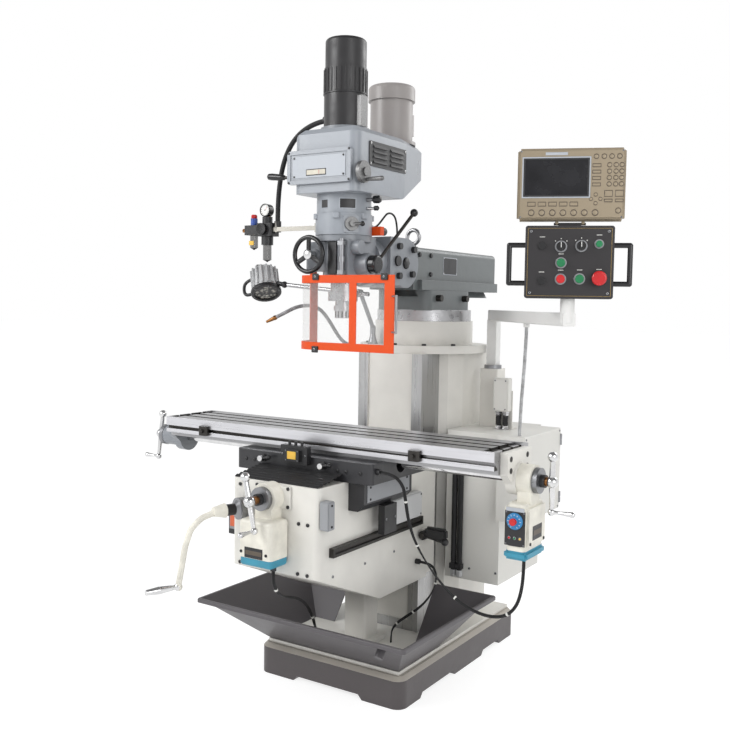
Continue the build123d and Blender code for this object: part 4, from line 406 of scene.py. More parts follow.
def lamp_cells(name):
    """A face of small round light cells, unlit."""
    g = Graph(name, Specular_IOR_Level=0.6)
    near = g.add("TexVoronoi", {"Vector": g.place, "Scale": 75.0}).outputs["Distance"]
    tone = g.ramp(near, (0.25, (0.42, 0.41, 0.36, 1)), (0.6, (0.02, 0.02, 0.021, 1)))
    return g.made(tone, g.span(near, 0.12, 0.45, 0.0, 0.6), Normal=g.bump(near, 0.0012))


castings = cast_paint("casting_white", (224, 222, 216), 0.4, 0.5)
castings_grey = cast_paint("casting_grey", (138, 142, 148), 0.36, 0.5)
ram_grey = cast_paint("ram_grey", (106, 111, 112), 0.38, 0.45)
housing_grey = cast_paint("housing_grey", (150, 155, 162), 0.34)
motor_grey = cast_paint("motor_grey", (156, 151, 149))
castings_dark = cast_paint("casting_charcoal", (46, 46, 49), 0.38)
base_dark = cast_paint("base_charcoal", (80, 75, 76), 0.42)
# Painted light: a lighter copy of the base's paint, for the faces that look up.
base_lit_top = cast_paint("base_top_lit", (172, 166, 157), 0.5)
sheet_white = powder_coat("sheet_white", (220, 219, 214))
sheet_dark = powder_coat("sheet_charcoal", (90, 87, 90), 0.42)
sheet_mid = powder_coat("sheet_mid_grey", (150, 152, 156))
vent_dark = powder_coat("vent_dark", (62, 62, 63))
orange = powder_coat("orange_coat", (222, 74, 0), 0.5)
arm_white = powder_coat("arm_white", (228, 228, 226), 0.35)
band_cream = powder_coat("band_cream", (204, 200, 190), 0.35)
panel_dark = powder_coat("panel_dark", (44, 42, 44), 0.42)
silver = powder_coat("lamp_silver", (196, 197, 198), 0.35)
plate_silver = powder_coat("plate_silver", (178, 183, 190), 0.4)
table_steel = ground_steel("table_steel", (172, 172, 174), (0.06, 2, 2), 0.34)
edge_steel = ground_steel("table_edge", (212, 212, 216), (0.06, 2, 2), 0.3, 0.1)
way_steel = ground_steel("way_steel", (176, 176, 176), (2, 2, 0.06))
bright_steel = turned_steel("bright_steel", (176, 176, 178), 0.28)
dull_steel = turned_steel("dull_steel", (146, 147, 150), 0.36)
dark_steel = turned_steel("dark_steel", (66, 64, 62), 0.4)
brass = turned_steel("brass", (150, 104, 62), 0.28)
cast_silver = rough_cast("cast_silver", (134, 134, 134))
plated = chrome("chrome_plate")
black_plastic = plastic("black_plastic", (34, 34, 36))
gloss_black = plastic("gloss_black", (22, 22, 24), 0.2, 0.00002)
drawbar_black = plastic("drawbar_black", (36, 35, 37), 0.38)
case_white = plastic("case_white", (226, 223, 212), 0.38)
teal = plastic("teal_base", (58, 142, 168), 0.4)
dial_blue = plastic("dial_blue", (52, 128, 182), 0.35)
cap_blue = plastic("cap_blue", (44, 78, 158), 0.35)
red_gloss = plastic("red_gloss", (196, 30, 34), 0.22, 0.00002)
green_gloss = plastic("green_gloss", (24, 122, 74), 0.22, 0.00002)
yellow = plastic("yellow_plate", (232, 186, 74), 0.4)
amber = plastic("amber_window", (206, 98, 62), 0.35)
key_cream = plastic("key_cream", (206, 200, 184), 0.45)
key_grey = plastic("key_grey", (88, 78, 66), 0.45)
gauge_white = plastic("gauge_white", (236, 236, 232), 0.35)
tie_white = plastic("tie_white", (225, 225, 220), 0.4)
cable_black = rubber("cable_black", (30, 30, 31))
cable_grey = rubber("cable_grey", (150, 151, 152), 0.5)
hose_grey = rubber("hose_grey", (128, 128, 130), 0.45)
clear = clear_sheet("clear_sheet", (226, 226, 224), 0.12)
bowl_clear = clear_sheet("bowl_smoke", (70, 68, 66), 0.6)
champagne = anodised("champagne", (152, 139, 118), 0.4)
gold = anodised("gold_line", (176, 150, 96))
display = screen_glass("display")
cells = lamp_cells("lamp_cells")


# Stage
def place_camera():
    forward = Vector((-math.sin(CAMERA_TURN) * math.cos(CAMERA_PITCH),
                      math.cos(CAMERA_TURN) * math.cos(CAMERA_PITCH), math.sin(CAMERA_PITCH)))
    level = Vector((math.cos(CAMERA_TURN), math.sin(CAMERA_TURN), 0))
    upward = level.cross(forward)
    right = level * math.cos(CAMERA_ROLL) + upward * math.sin(CAMERA_ROLL)
    up = upward * math.cos(CAMERA_ROLL) - level * math.sin(CAMERA_ROLL)
    camera = bpy.data.objects.new("camera", bpy.data.cameras.new("camera"))
    camera.data.sensor_width = SENSOR
    camera.data.lens = FOCAL_PX / IMAGE_PX * SENSOR
    camera.data.clip_end = CLIP_END
    turn = Matrix((right, up, -forward)).transposed().to_4x4()
    camera.matrix_world = Matrix.Translation(CAMERA_PLACE) @ turn
    bpy.context.scene.collection.objects.link(camera)
    bpy.context.scene.camera = camera


def set_world():
    """Plain light all round, and a white background that greys overhead, as a studio's ceiling does."""
    world = bpy.data.worlds.new("studio")
    bpy.context.scene.world = world
    n = Nodes(world)
    n.set("Background", Color=PURE_WHITE, Strength=AMBIENT)
    sky = n.add("SeparateXYZ", {"Vector": n.add("TexCoord").outputs["Generated"]}).outputs["Z"]
    dimming = n.add("MapRange", {"Value": sky, **CEILING}).outputs["Result"]
    seen = n.add("Background", {"Color": PURE_WHITE, "Strength": dimming}).outputs["Background"]
    ambient = n.tree.nodes["Background"].outputs["Background"]
    n.show("World Output", n.background_rays(), ambient, seen)


def make_floor():
    bm = bmesh.new()
    bmesh.ops.create_grid(bm, x_segments=8, y_segments=8, size=FLOOR_HALF)
    mesh = bpy.data.meshes.new("floor")
    bm.to_mesh(mesh)
    bm.free()
    floor = bpy.data.objects.new("floor", mesh)
    bpy.context.scene.collection.objects.link(floor)
    paper = bpy.data.materials.new("floor_paper")
    n = Nodes(paper)
    n.set("Principled BSDF", Base_Color=FLOOR_WHITE, Roughness=FLOOR_ROUGHNESS)
    glow = n.add("Emission", {"Strength": FLOOR_GLOW}).outputs["Emission"]
    share = n.calc("MULTIPLY", n.background_rays(), FLOOR_GLOW_SHARE)
    n.show("Material Output", share, n.tree.nodes["Principled BSDF"].outputs["BSDF"], glow)
    mesh.materials.append(paper)


def light_stage():
    set_world()
    make_floor()
    for name, place, size, power in LIGHTS:
        light = bpy.data.lights.new(name, "AREA")
        light.shape = "DISK"
        light.size = size
        light.energy = power
        lamp = bpy.data.objects.new(name, light)
        lamp.location = place
        lamp.rotation_mode = "QUATERNION"
        lamp.rotation_quaternion = (LIGHT_AIM - Vector(place)).to_track_quat("-Z", "Y")
        bpy.context.scene.collection.objects.link(lamp)
    bpy.context.scene.view_settings.view_transform = "Standard"


# Places and directions
def joint_line(name):
    joint = JOINTS[name]
    return Vector(joint["pos_m"]) / MM, Vector(joint["axis"]).normalized()


def box_mm(node):
    return [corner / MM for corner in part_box(node)]


def panel_middle(height):
    return Vector((PANEL_PLACE.x, PANEL_PLACE.y, height))


def grid(*spans):
    """Every meeting of places along the three axes, each given as one number or several."""
    return list(product(*[span if isinstance(span, tuple) else (span,) for span in spans]))


def frame_axes(out):
    """A turn whose third axis points out and whose second is as near up as it can be."""
    out = Vector(out).normalized()
    up = UP if abs(out.dot(UP)) <= 0.99 else -FRONT
    side = up.cross(out).normalized()
    return Matrix((side, out.cross(side), out)).transposed()


def spokes(axis, start, angles):
    """Directions turned about an axis by degrees, each with a turn whose second axis lies along it."""
    for angle in angles:
        out = Matrix.Rotation(math.radians(angle), 3, axis) @ start
        yield out, Matrix((out.cross(axis), out, axis)).transposed()


def even(count):
    return [360 * step / count for step in range(count)]


# Zones of a part's faces, by where their middles lie in millimetres
def within(x=None, y=None, z=None):
    def picks(p, n):
        return all(span is None or span[0] <= value <= span[1] for value, span in zip(p, (x, y, z)))
    return picks


def around(line, reach, radius=(0, FAR)):
    """Between two distances along a line and two distances out from it."""
    base, axis = line

    def picks(p, n):
        offset = p - base
        along = offset.dot(axis)
        out = (offset - axis * along).length
        return reach[0] <= along <= reach[1] and radius[0] <= out <= radius[1]
    return picks


def facing(direction, share=0.9):
    def picks(p, n):
        return n.dot(direction) > share
    return picks


def both(first, second):
    def picks(p, n):
        return first(p, n) and second(p, n)
    return picks


def on_box(u, w, out):
    """Between limits across, up and out from the middle of the control box."""
    def picks(p, n):
        offset = p - panel_middle(BOX_MIDDLE)
        shares = (offset.dot(PANEL_SIDE), offset.dot(UP), offset.dot(PANEL_OUT))
        return all(span[0] <= value <= span[1] for value, span in zip(shares, (u, w, out)))
    return picks


def dress(node, finish, *rules):
    """Gives a part its finish, and another to the faces that each rule picks, later rules last."""
    part = NODES[node]
    part.data.materials.clear()
    part.data.materials.append(finish)
    for face in part.data.polygons:
        face.material_index = 0
    for index, (other, picks) in enumerate(rules, start=1):
        part.data.materials.append(other)
        for face in part.data.polygons:
            if picks(face.center / MM, face.normal):
                face.material_index = index


def dress_plain():
    plain = {
        castings: ("knee",),
        sheet_dark: ("chip_tray",),
        sheet_white: ("cabinet_door",),
        bright_steel: ("lamp_rod", "elevating_screw", "quill", "spindle"),
        castings_dark: ("saddle",),
        castings_grey: ("head_casting",),
        housing_grey: ("gear_housing",),
        cast_silver: ("speed_crank",),
        motor_grey: ("drive_motor",),
        black_plastic: ("knee_lock_lever",),
        clear: ("guard_window",),
        arm_white: ("pendant_arm",),
        gloss_black: ("selector_left", "selector_right"),
        red_gloss: ("estop_button", "stop_button"),
        green_gloss: ("start_button", "coolant_button", "power_button"),
    }
    for finish, nodes in plain.items():
        for node in nodes:
            dress(node, finish)


def dress_frame():
    # Painted light: the base's upward faces get a lighter copy of its paint, as if lit from above.
    dress("base_casting", base_dark, (base_lit_top, facing(UP, 0.3)))
    dress("column", castings,
          (way_steel, both(within(y=(-71, -69)), facing(FRONT))),
          (way_steel, both(within(x=(142, 144), z=(120, 1190)), facing(RIGHT))),
          (way_steel, both(within(x=(-144, -142), z=(120, 1190)), facing(LEFT))))
    dress("column_fittings", castings,
          (dull_steel, within(x=(-140, -80), z=(1220, FAR))),
          (dull_steel, within(x=(247, 323), y=(212, 288), z=(1134.5, FAR))))
    dress("electrical_cabinet", sheet_white,
          (black_plastic, within(x=(230, 300), y=(0, 29.5))),
          (dull_steel, within(x=(434.5, 442.2), z=(725, 775))),
          (black_plastic, within(x=(442.3, 515), z=(700, 800))))
    dress("lamp_lower_link", sheet_mid, (black_plastic, within(y=(LAMP_LINK_Y - 60, LAMP_LINK_Y - 14))))
    can = (LAMP_MIDDLE, LAMP_AIM)
    dress("lamp_head", silver,
          (black_plastic, around(can, (38.5, FAR))),
          (black_plastic, around(can, (-FAR, -46.8))),
          (black_plastic, around(can, ANY, (56, FAR))),
          (black_plastic, around(joint_line("lamp_tilt"), ANY, (0, 20))))


def dress_knee():
    dress("knee_fittings", dark_steel,
          (black_plastic, within(x=(-FAR, 0))),
          (black_plastic, within(z=(400, 450))))
    dress("y_feed_unit", case_white, (teal, within(z=(0, 569.8))), (black_plastic, within(z=(0, 541.9))))
    crank = joint_line("knee_crank_turn")
    dress("z_crank", case_white,
          (dull_steel, around(crank, (0, 55.4), (0, 40))),
          (black_plastic, around(crank, (55.2, 89.4), (0, 20))),
          (plated, around(crank, (225, FAR), (236, FAR))))
    screw = joint_line("cross_screw_turn")
    dress("y_screw", plated,
          (dull_steel, around(screw, (50, 70.8), (0, 42))),
          (black_plastic, around(screw, (70.7, 86.8), (0, 22))),
          (brass, around(screw, (86.7, 104), (0, 16))))


def dress_table():
    dress("saddle_fittings", black_plastic, (dull_steel, around(X_SCREW, (-40, 40), (0, 31))))
    for side in ("left", "right"):
        pivot = joint_line(f"lock_{side}_turn")
        dress(f"table_lock_{side}", black_plastic, (plated, around(pivot, ANY, (0, 10.5))))
    low, high = box_mm("table")
    dress("table", table_steel,
          (edge_steel, both(facing(FRONT), within(y=(low.y - 1, low.y + 1)))),
          (edge_steel, both(facing(-FRONT), within(y=(high.y - 1, high.y + 1)))),
          (dark_steel, within(y=(low.y + 1, low.y + 16), z=(888, 905.5))),
          (dark_steel, within(y=(low.y + 40, high.y - 40), z=(914, 942))))
    dress("table_fittings", castings,
          (castings_grey, within(x=(-FAR, -640))),
          (dark_steel, within(x=(-600, 600))))
    dress("x_feed_unit", case_white,
          (teal, within(z=(0, 636.8))),
          (black_plastic, within(z=(0, 608.8))),
          (black_plastic, within(y=(-530, -520.2))))
    dress("x_feed_knob", dial_blue, (red_gloss, around(joint_line("feed_knob_turn"), (3.5, FAR), (0, 11))))
    dress("x_screw", plated,
          (dull_steel, around(X_SCREW, (767, 785.8), (0, 42))),
          (black_plastic, around(X_SCREW, (785.7, 801.8), (0, 22))),
          (brass, around(X_SCREW, (801.7, 812), (0, 16))),
          (dull_steel, around(X_SCREW, (-818.5, -800), (0, 42))),
          (black_plastic, around(X_SCREW, (-830.5, -818.4), (0, 22))))


def dress_head():
    dress("turret", ram_grey,
          (bright_steel, within(z=(1317, 1363))),
          (dark_steel, within(x=(120.5, 200), z=(1370, 1440))))
    dress("knuckle", castings_grey, (black_plastic, within(x=(100.4, 140))))
    dress("ram", ram_grey, (bright_steel, within(x=(-40, 40), y=(50, 135), z=(1614.6, FAR))))
    dress("belt_housing", housing_grey,
          (vent_dark, within(x=(132.2, 200))),
          (vent_dark, within(x=(-200, -132.2), y=(-500, -150))))
    dress("drawbar_unit", drawbar_black,
          (cast_silver, within(x=(62, 120), y=(-425, -383), z=(1991, 2097))),
          (castings_grey, around((SPINDLE, UP), (1978, 1992.5), (76, 90))))
    dress("head_fittings", orange,
          (black_plastic, within(x=(-10, 30), y=(-520, -455))),
          (dull_steel, within(x=(40, 74), y=(-520, -455))),
          (castings_grey, within(x=(-150, -110))),
          (black_plastic, within(y=(-328.5, -300), z=(1600, 1700))),
          (dull_steel, within(x=(-140, -116), z=(1490, 1563))))
    dress("air_unit", black_plastic,
          (band_cream, within(x=(-283, 0))),
          (band_cream, within(x=(-307, -283), y=(-408, -397.5), z=(1643.8, 1660.2))),
          (bowl_clear, within(x=(-368, -324), z=(1539, 1596.2))),
          (bowl_clear, within(x=(-428, -392), z=(1585, 1634.2))),
          (cap_blue, within(x=(-428, -392), z=(1670.1, 1700))),
          (gloss_black, within(y=(-440, -420.2))))
    dress("range_knob", cast_silver, (gloss_black, around(joint_line("range_knob_turn"), ANY, (25, FAR))))
    pivot = joint_line("quill_lever_turn")
    dress("quill_lever", dark_steel,
          (gloss_black, around(pivot, (-20, 40), (0, 34))),
          (gloss_black, around(pivot, ANY, (228, FAR))))
    dress("feed_handwheel", gloss_black, (plated, around(joint_line("feed_wheel_turn"), ANY, (0, 15))))
    dress("guard_frame", orange,
          (dull_steel, within(x=(296.2, FAR))),
          (dull_steel, within(y=(-560, -531))))


def dress_pendant():
    dress("control_box", panel_dark,
          (gloss_black, on_box((133, 200), (-100, 80), (0, 40))),
          (gloss_black, on_box((-200, -133), (-100, 80), (0, 40))),
          (gloss_black, on_box((-95, -67), (-75, 65), (40.2, 50))),
          (dull_steel, on_box((-66, 115), (-75, 75), (40.2, 50))))


# Shapes for cords and detail pieces
def spline_line(route, steps=10):
    """The points of the smooth line that a route's points control, in metres."""
    curve = bpy.data.curves.new("route", "CURVE")
    curve.dimensions = "3D"
    curve.resolution_u = steps
    spline = curve.splines.new("NURBS")
    spline.points.add(len(route) - 1)
    for point, place in zip(spline.points, route):
        point.co = (*[value * MM for value in place], 1)
    spline.order_u = 3
    spline.use_endpoint_u = True
    bare = bpy.data.objects.new("route", curve)
    mesh = bpy.data.meshes.new_from_object(bare)
    line = [vertex.co.copy() for vertex in mesh.vertices]
    bpy.data.meshes.remove(mesh)
    bpy.data.objects.remove(bare)
    bpy.data.curves.remove(curve)
    return line


def frames_along(line):
    """A pair of cross directions at each point, carried along the line without twisting."""
    side = (line[1] - line[0]).normalized().orthogonal().normalized()
    frames = []
    for index in range(len(line)):
        before = line[max(index - 1, 0)]
        after = line[min(index + 1, len(line) - 1)]
        heading = (after - before).normalized()
        side = (side - heading * side.dot(heading)).normalized()
        frames.append((side, heading.cross(side)))
    return frames


def circle(count):
    angles = [2 * math.pi * step / count for step in range(count)]
    return [(math.cos(angle), math.sin(angle)) for angle in angles]


def skin(bm, rings, loop=False):
    """Faces from each ring of points to the next, with closed ends or the last ring joined to the first."""
    faces = []
    for near, far in zip(rings, rings[1:] + (rings[:1] if loop else [])):
        for step in range(len(near)):
            after = (step + 1) % len(near)
            faces.append(bm.faces.new((near[step], near[after], far[after], far[step])))
    if not loop:
        faces += [bm.faces.new(list(reversed(rings[0]))), bm.faces.new(rings[-1])]
    return faces


def add_tube(bm, line, frames, radii, sides, index=0):
    """A closed tube along a line, with a radius for each of its points."""
    rings = []
    for point, (side, up), radius in zip(line, frames, radii):
        rings.append([bm.verts.new(point + (side * x + up * y) * radius) for x, y in circle(sides)])
    for face in skin(bm, rings):
        face.smooth = True
        face.material_index = index


def new_piece(name, bm, *finishes):
    bmesh.ops.recalc_face_normals(bm, faces=bm.faces)
    mesh = bpy.data.meshes.new(name)
    bm.to_mesh(mesh)
    bm.free()
    mesh.set_sharp_from_angle(angle=SMOOTH_BELOW)
    for finish in finishes:
        mesh.materials.append(finish)
    piece = bpy.data.objects.new(name, mesh)
    bpy.context.scene.collection.objects.link(piece)
    return piece


class Piece:
    """A detail piece gathered from small shapes given in millimetres."""

    def __init__(self, name):
        self.name = name
        self.bm = bmesh.new()
        self.finishes = []

    def take(self, shape, finish, place=Matrix.Identity(4)):
        if finish not in self.finishes:
            self.finishes.append(finish)
        for face in shape.faces:
            face.material_index = self.finishes.index(finish)
            face.smooth = True
        shape.transform(Matrix.Scale(MM, 4) @ place)
        mesh = bpy.data.meshes.new("shape")
        shape.to_mesh(mesh)
        shape.free()
        self.bm.from_mesh(mesh)
        bpy.data.meshes.remove(mesh)

    def block(self, finish, middle, size, bevel, axes=Matrix.Identity(3)):
        shape = bmesh.new()
        bmesh.ops.create_cube(shape, size=1)
        for vertex in shape.verts:
            vertex.co = Vector([part * whole for part, whole in zip(vertex.co, size)])
        offset = min(bevel, min(size) * 0.3)
        bmesh.ops.bevel(shape, geom=shape.edges, offset=offset, segments=2, affect="EDGES")
        self.take(shape, finish, Matrix.Translation(middle) @ axes.to_4x4())

    def turned(self, finish, base, axis, profile, sides):
        """A turned shape: distances along the axis, each with its radius."""
        shape = bmesh.new()
        rings = []
        for reach, radius in profile:
            rings.append([shape.verts.new((radius * x, radius * y, reach)) for x, y in circle(sides)])
        skin(shape, rings)
        self.take(shape, finish, Matrix.Translation(base) @ frame_axes(axis).to_4x4())

    def screws(self, finish, places, axis, radius, height):
        """Socket-head screws with chamfered heads and sunk hexagons."""
        head = [(-0.5, radius), (height * 0.8, radius), (height, radius * 0.82)]
        socket = [(-height * 0.35, radius * 0.5), (0.05, radius * 0.5)]
        for place in places:
            self.turned(finish, place, axis, head, 16)
            self.turned(gloss_black, Vector(place) + axis * height, axis, socket, 6)

    def rod(self, finish, route, radius, sides):
        """A bent round rod along a smooth line."""
        shape = bmesh.new()
        line = [point / MM for point in spline_line(route)]
        add_tube(shape, line, frames_along(line), [radius] * len(line), sides)
        self.take(shape, finish)

    def hoop(self, finish, middle, axis, radius, thick):
        """A round ring about an axis."""
        shape = bmesh.new()
        rings = []
        for x, y in circle(40):
            section = [(radius + thick * out, thick * along) for out, along in circle(12)]
            rings.append([shape.verts.new((reach * x, reach * y, along)) for reach, along in section])
        skin(shape, rings, loop=True)
        self.take(shape, finish, Matrix.Translation(middle) @ frame_axes(axis).to_4x4())

    def ticks(self, finish, line, reach, radius):
        """Graduations round a dial's rim, longer at every fifth."""
        base, axis = line
        directions = spokes(axis, frame_axes(axis).col[0].copy(), even(DIAL_TICKS))
        for step, (out, axes) in enumerate(directions):
            length = TICK_LENGTH * (1.5 if step % 5 == 0 else 1)
            middle = base + axis * (reach + length / 2) + out * radius
            self.block(finish, middle, (0.7, 0.3, length), 0.05, axes)

    def curved_plate(self, finish, radius, turn, arc, low, high, thick):
        """A thin plate bent round the spindle's line, by angles in degrees from the front."""
        shape = bmesh.new()
        section = ((radius, low), (radius + thick, low), (radius + thick, high), (radius, high))
        angles = [turn + arc * (step / 10 - 0.5) for step in range(11)]
        rows = []
        for out, axes in spokes(UP, FRONT, angles):
            rows.append([shape.verts.new(SPINDLE + out * reach + UP * z) for reach, z in section])
        skin(shape, rows)
        self.take(shape, finish)

    def ride(self, body, slot):
        piece = new_piece(self.name, self.bm, *self.finishes)
        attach(piece, body)
        return piece


class PanelPiece(Piece):
    """A piece on the pendant, placed across, up and out from the middle of its box."""

    def __init__(self, name, middle_z):
        super().__init__(name)
        self.middle = panel_middle(middle_z)

    def spot(self, u, w, out):
        return self.middle + PANEL_SIDE * u + UP * w + PANEL_OUT * out

    def plate(self, finish, place, size, bevel):
        self.block(finish, self.spot(*place), size, bevel, PANEL_AXES)


# Cords
def cord(name, route, diameter, strands, finish, ties):
    """A cable of one or more strands laid together along a route, with ties at shares of its length."""
    line = spline_line(route)
    frames = frames_along(line)
    bm = bmesh.new()
    radius = diameter / 2
    if strands == 1:
        add_tube(bm, line, frames, [radius] * len(line), 16)
    else:
        thin = radius * 0.5
        for strand in range(strands):
            laid = []
            for index, (point, (side, up)) in enumerate(zip(line, frames)):
                angle = 2 * math.pi * strand / strands + 1.6 * math.pi * index / len(line)
                laid.append(point + (side * math.cos(angle) + up * math.sin(angle)) * thin)
            add_tube(bm, laid, frames, [thin] * len(laid), 12)
    for share in ties:
        index = round(share * (len(line) - 2))
        heading = (line[index + 1] - line[index]).normalized()
        band = [line[index] + heading * (step * 0.0018 - 0.0027) for step in range(4)]
        add_tube(bm, band, [frames[index]] * 4, [radius * 1.12] * 4, 16, 1)
    piece = new_piece(name, bm, finish, tie_white)
    length = sum((after - before).length for before, after in zip(line, line[1:]))
    return piece, line, length


def lay_cord(name, node, route, diameter, bodies, finish=cable_black, strands=1, ties=(), **kind):
    """A cord in place of its CAD node, on one body or from one to another."""
    piece, line, length = cord(name, route, diameter, strands, finish, ties)
    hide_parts(node)
    if len(bodies) == 1:
        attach(piece, bodies[0])
    else:
        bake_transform(piece)


def lay_cords():
    lay_cord("drawbar_hose_sheath", "drawbar_hose", HOSE_ROUTE, 0.018, ("head",),
             stiffness="stiff", lay="hanging")
    lay_cord("x_feed_cable_bundle", "x_feed_cable", X_FEED_ROUTE, 0.011, ("saddle", "table"),
             strands=2, ties=(0.2, 0.42, 0.66, 0.85), lay="hanging")
    lay_cord("knee_side_cable", "knee_cables", KNEE_SIDE_ROUTE, 0.010, ("frame", "knee"),
             strands=2, ties=(0.3, 0.62, 0.8), lay="hanging")
    lay_cord("y_feed_cable", "knee_cables", Y_FEED_ROUTE, 0.011, ("frame", "knee"),
             strands=2, ties=(0.1, 0.7), lay="hanging")
    lay_cord("pendant_lead", "pendant_cable", PENDANT_ROUTE, 0.012, ("frame", "pendant_arm"),
             cable_grey, lay="hanging")
    lay_cord("switch_lead", "switch_cable", SWITCH_ROUTE, 0.007, ("knuckle", "head"), stiffness="stiff")


def coolant_line():
    """A ringed metal hose that stays where it is bent, with its socket and its nozzle."""
    line = spline_line(COOLANT_ROUTE, 44)
    length = 0
    radii = []
    for before, after in zip([line[0]] + line, line):
        length += (after - before).length
        radii.append(COOLANT_R * (0.94 + 0.12 * abs(math.sin(math.pi * length / COOLANT_PITCH))))
    bm = bmesh.new()
    add_tube(bm, line, frames_along(line), radii, 14)
    hose = new_piece("coolant_hose", bm, hose_grey)
    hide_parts("coolant_gooseneck")
    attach(hose, "frame")
    ends = Piece("coolant_fittings")
    first, second = (Vector(point) for point in COOLANT_ROUTE[:2])
    out = (second - first).normalized()
    socket = [(0, 12), (7, 12), (8, 9.5), (14, 9.5), (15, 8), (18, 8)]
    ends.turned(dull_steel, first - out * 10, out, socket, 6)
    last, tip = (Vector(point) for point in COOLANT_ROUTE[-2:])
    aim = (tip - last).normalized()
    reach = (tip - last).length
    nozzle = [(0, 8), (2, 9), (10, 9), (11, 8), (reach * 0.6, 7), (reach, 5), (reach + 3.9, 5)]
    ends.turned(brass, tip - aim * 4, aim, nozzle, 20)
    fittings = ends.ride("frame", "bright_steel")


def way_cover():
    """The folded rubber cover over the knee's ways."""
    low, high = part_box("way_cover")
    half = high.x
    steps = COVER_FOLDS * 8
    bm = bmesh.new()
    rings = []
    for step in range(steps + 1):
        share = step / steps
        y = low.y + (high.y - low.y) * share
        wave = FOLD_HEIGHT * (1 - math.cos(2 * math.pi * COVER_FOLDS * share)) / 2
        under = low.z + (high.z - low.z - COVER_ROOM) * share + wave
        top = under + COVER_SHEET
        section = ((-half, top), (0, top), (half, top), (half, under), (0, under), (-half, under))
        rings.append([bm.verts.new((x, y, z)) for x, z in section])
    for face in skin(bm, rings):
        face.smooth = True
    cover = new_piece("way_cover_folds", bm, cable_black)
    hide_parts("way_cover")
    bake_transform(cover)


# Small fittings and marks
def ribbed(p, x, y, low, high, ribs):
    """A ribbed plastic conduit standing upright."""
    step = (high - low) / ribs
    profile = []
    for rib in range(ribs):
        start = rib * step
        profile += [(start, 9.3), (start + step * 0.35, 10.6), (start + step * 0.65, 10.6)]
    p.turned(cable_black, (x, y, low), UP, profile + [(high - low, 9.3)], 16)


def frame_details():
    """The junction box, the conduits and the screws of the cabinet and the turret's foot."""
    p = Piece("frame_details")
    p.block(sheet_white, (365, 172, 1040), (62, 40, 130), 3)
    p.block(sheet_white, (365, 151.4, 1040), (56, 2.4, 122), 1)
    p.screws(dull_steel, grid((343, 387), 150.2, (985, 1095)), FRONT, 3, 1.6)
    for x in (350, 380):
        ribbed(p, x, 172, 905, 976, 9)
        p.turned(plated, (x, 172, 905), UP, CONDUIT_END, 6)
        p.turned(plated, (x, 172, 975), DOWN, CONDUIT_END, 6)
    for x in (247.3, 273.3):
        ribbed(p, x, 18, 355, 845, 62)
        for z in (346, 832):
            p.turned(cable_grey, (x, 18, z), UP, CONDUIT_COLLAR, 6)
    p.screws(dull_steel, grid((310, 420), 30, (380, 860)), FRONT, 5, 2.5)
    foot = [TURRET_FOOT + out * 226 for out, axes in spokes(UP, FRONT, range(-60, 61, 30))]
    p.screws(black_plastic, foot, UP, 9, 7)
    p.ride("frame", "column_paint")


def door_details():
    low, high = box_mm("cabinet_door")
    p = Piece("door_details")
    for z in (low.z + 45, high.z - 45):
        p.turned(dull_steel, (high.x - 7, high.y - 4, z - 22), UP, HINGE, 14)
    corners = grid(high.x - 7, (low.y + 10, high.y - 16), (low.z + 10, high.z - 10))
    p.screws(dull_steel, corners, RIGHT, 4, 2)
    p.ride("door", "cabinet_paint")


def lamp_details():
    """The lamp's finned sleeve, its lens ring and its side handle."""
    p = Piece("lamp_sleeve")
    start = frame_axes(LAMP_AIM).col[0].copy()
    sleeve = [(-60, 28), (-57, 44), (-52, 47), (30, 51.5), (36, 51.5), (37, 49)]
    p.turned(silver, LAMP_MIDDLE, LAMP_AIM, sleeve, 36)
    for out, axes in spokes(LAMP_AIM, start, even(16)):
        p.block(silver, LAMP_MIDDLE + out * 52 - LAMP_AIM * 12, (9, 9, 84), 2.5, axes)
    rim = [(36, 52), (37, 58), (40, 60), (50, 60), (53, 57), (53, 48), (46, 46.5)]
    p.turned(black_plastic, LAMP_MIDDLE, LAMP_AIM, rim, 40)
    p.turned(cells, LAMP_MIDDLE, LAMP_AIM, [(45, 46), (46.6, 46)], 40)
    face = LAMP_MIDDLE + LAMP_AIM * 52.8
    places = [face + out * 52.5 for out, axes in spokes(LAMP_AIM, start, range(30, 360, 60))]
    p.screws(dull_steel, places, LAMP_AIM, 2.4, 1.2)
    left = (LEFT - LAMP_AIM * LEFT.dot(LAMP_AIM)).normalized()
    bends = ((46, -42), (74, -44), (96, -36), (102, -14), (100, 10), (84, 24), (48, 26))
    p.rod(black_plastic, [LAMP_MIDDLE + left * out + LAMP_AIM * along for out, along in bends], 6.5, 14)
    p.ride("lamp", "lamp_silver")


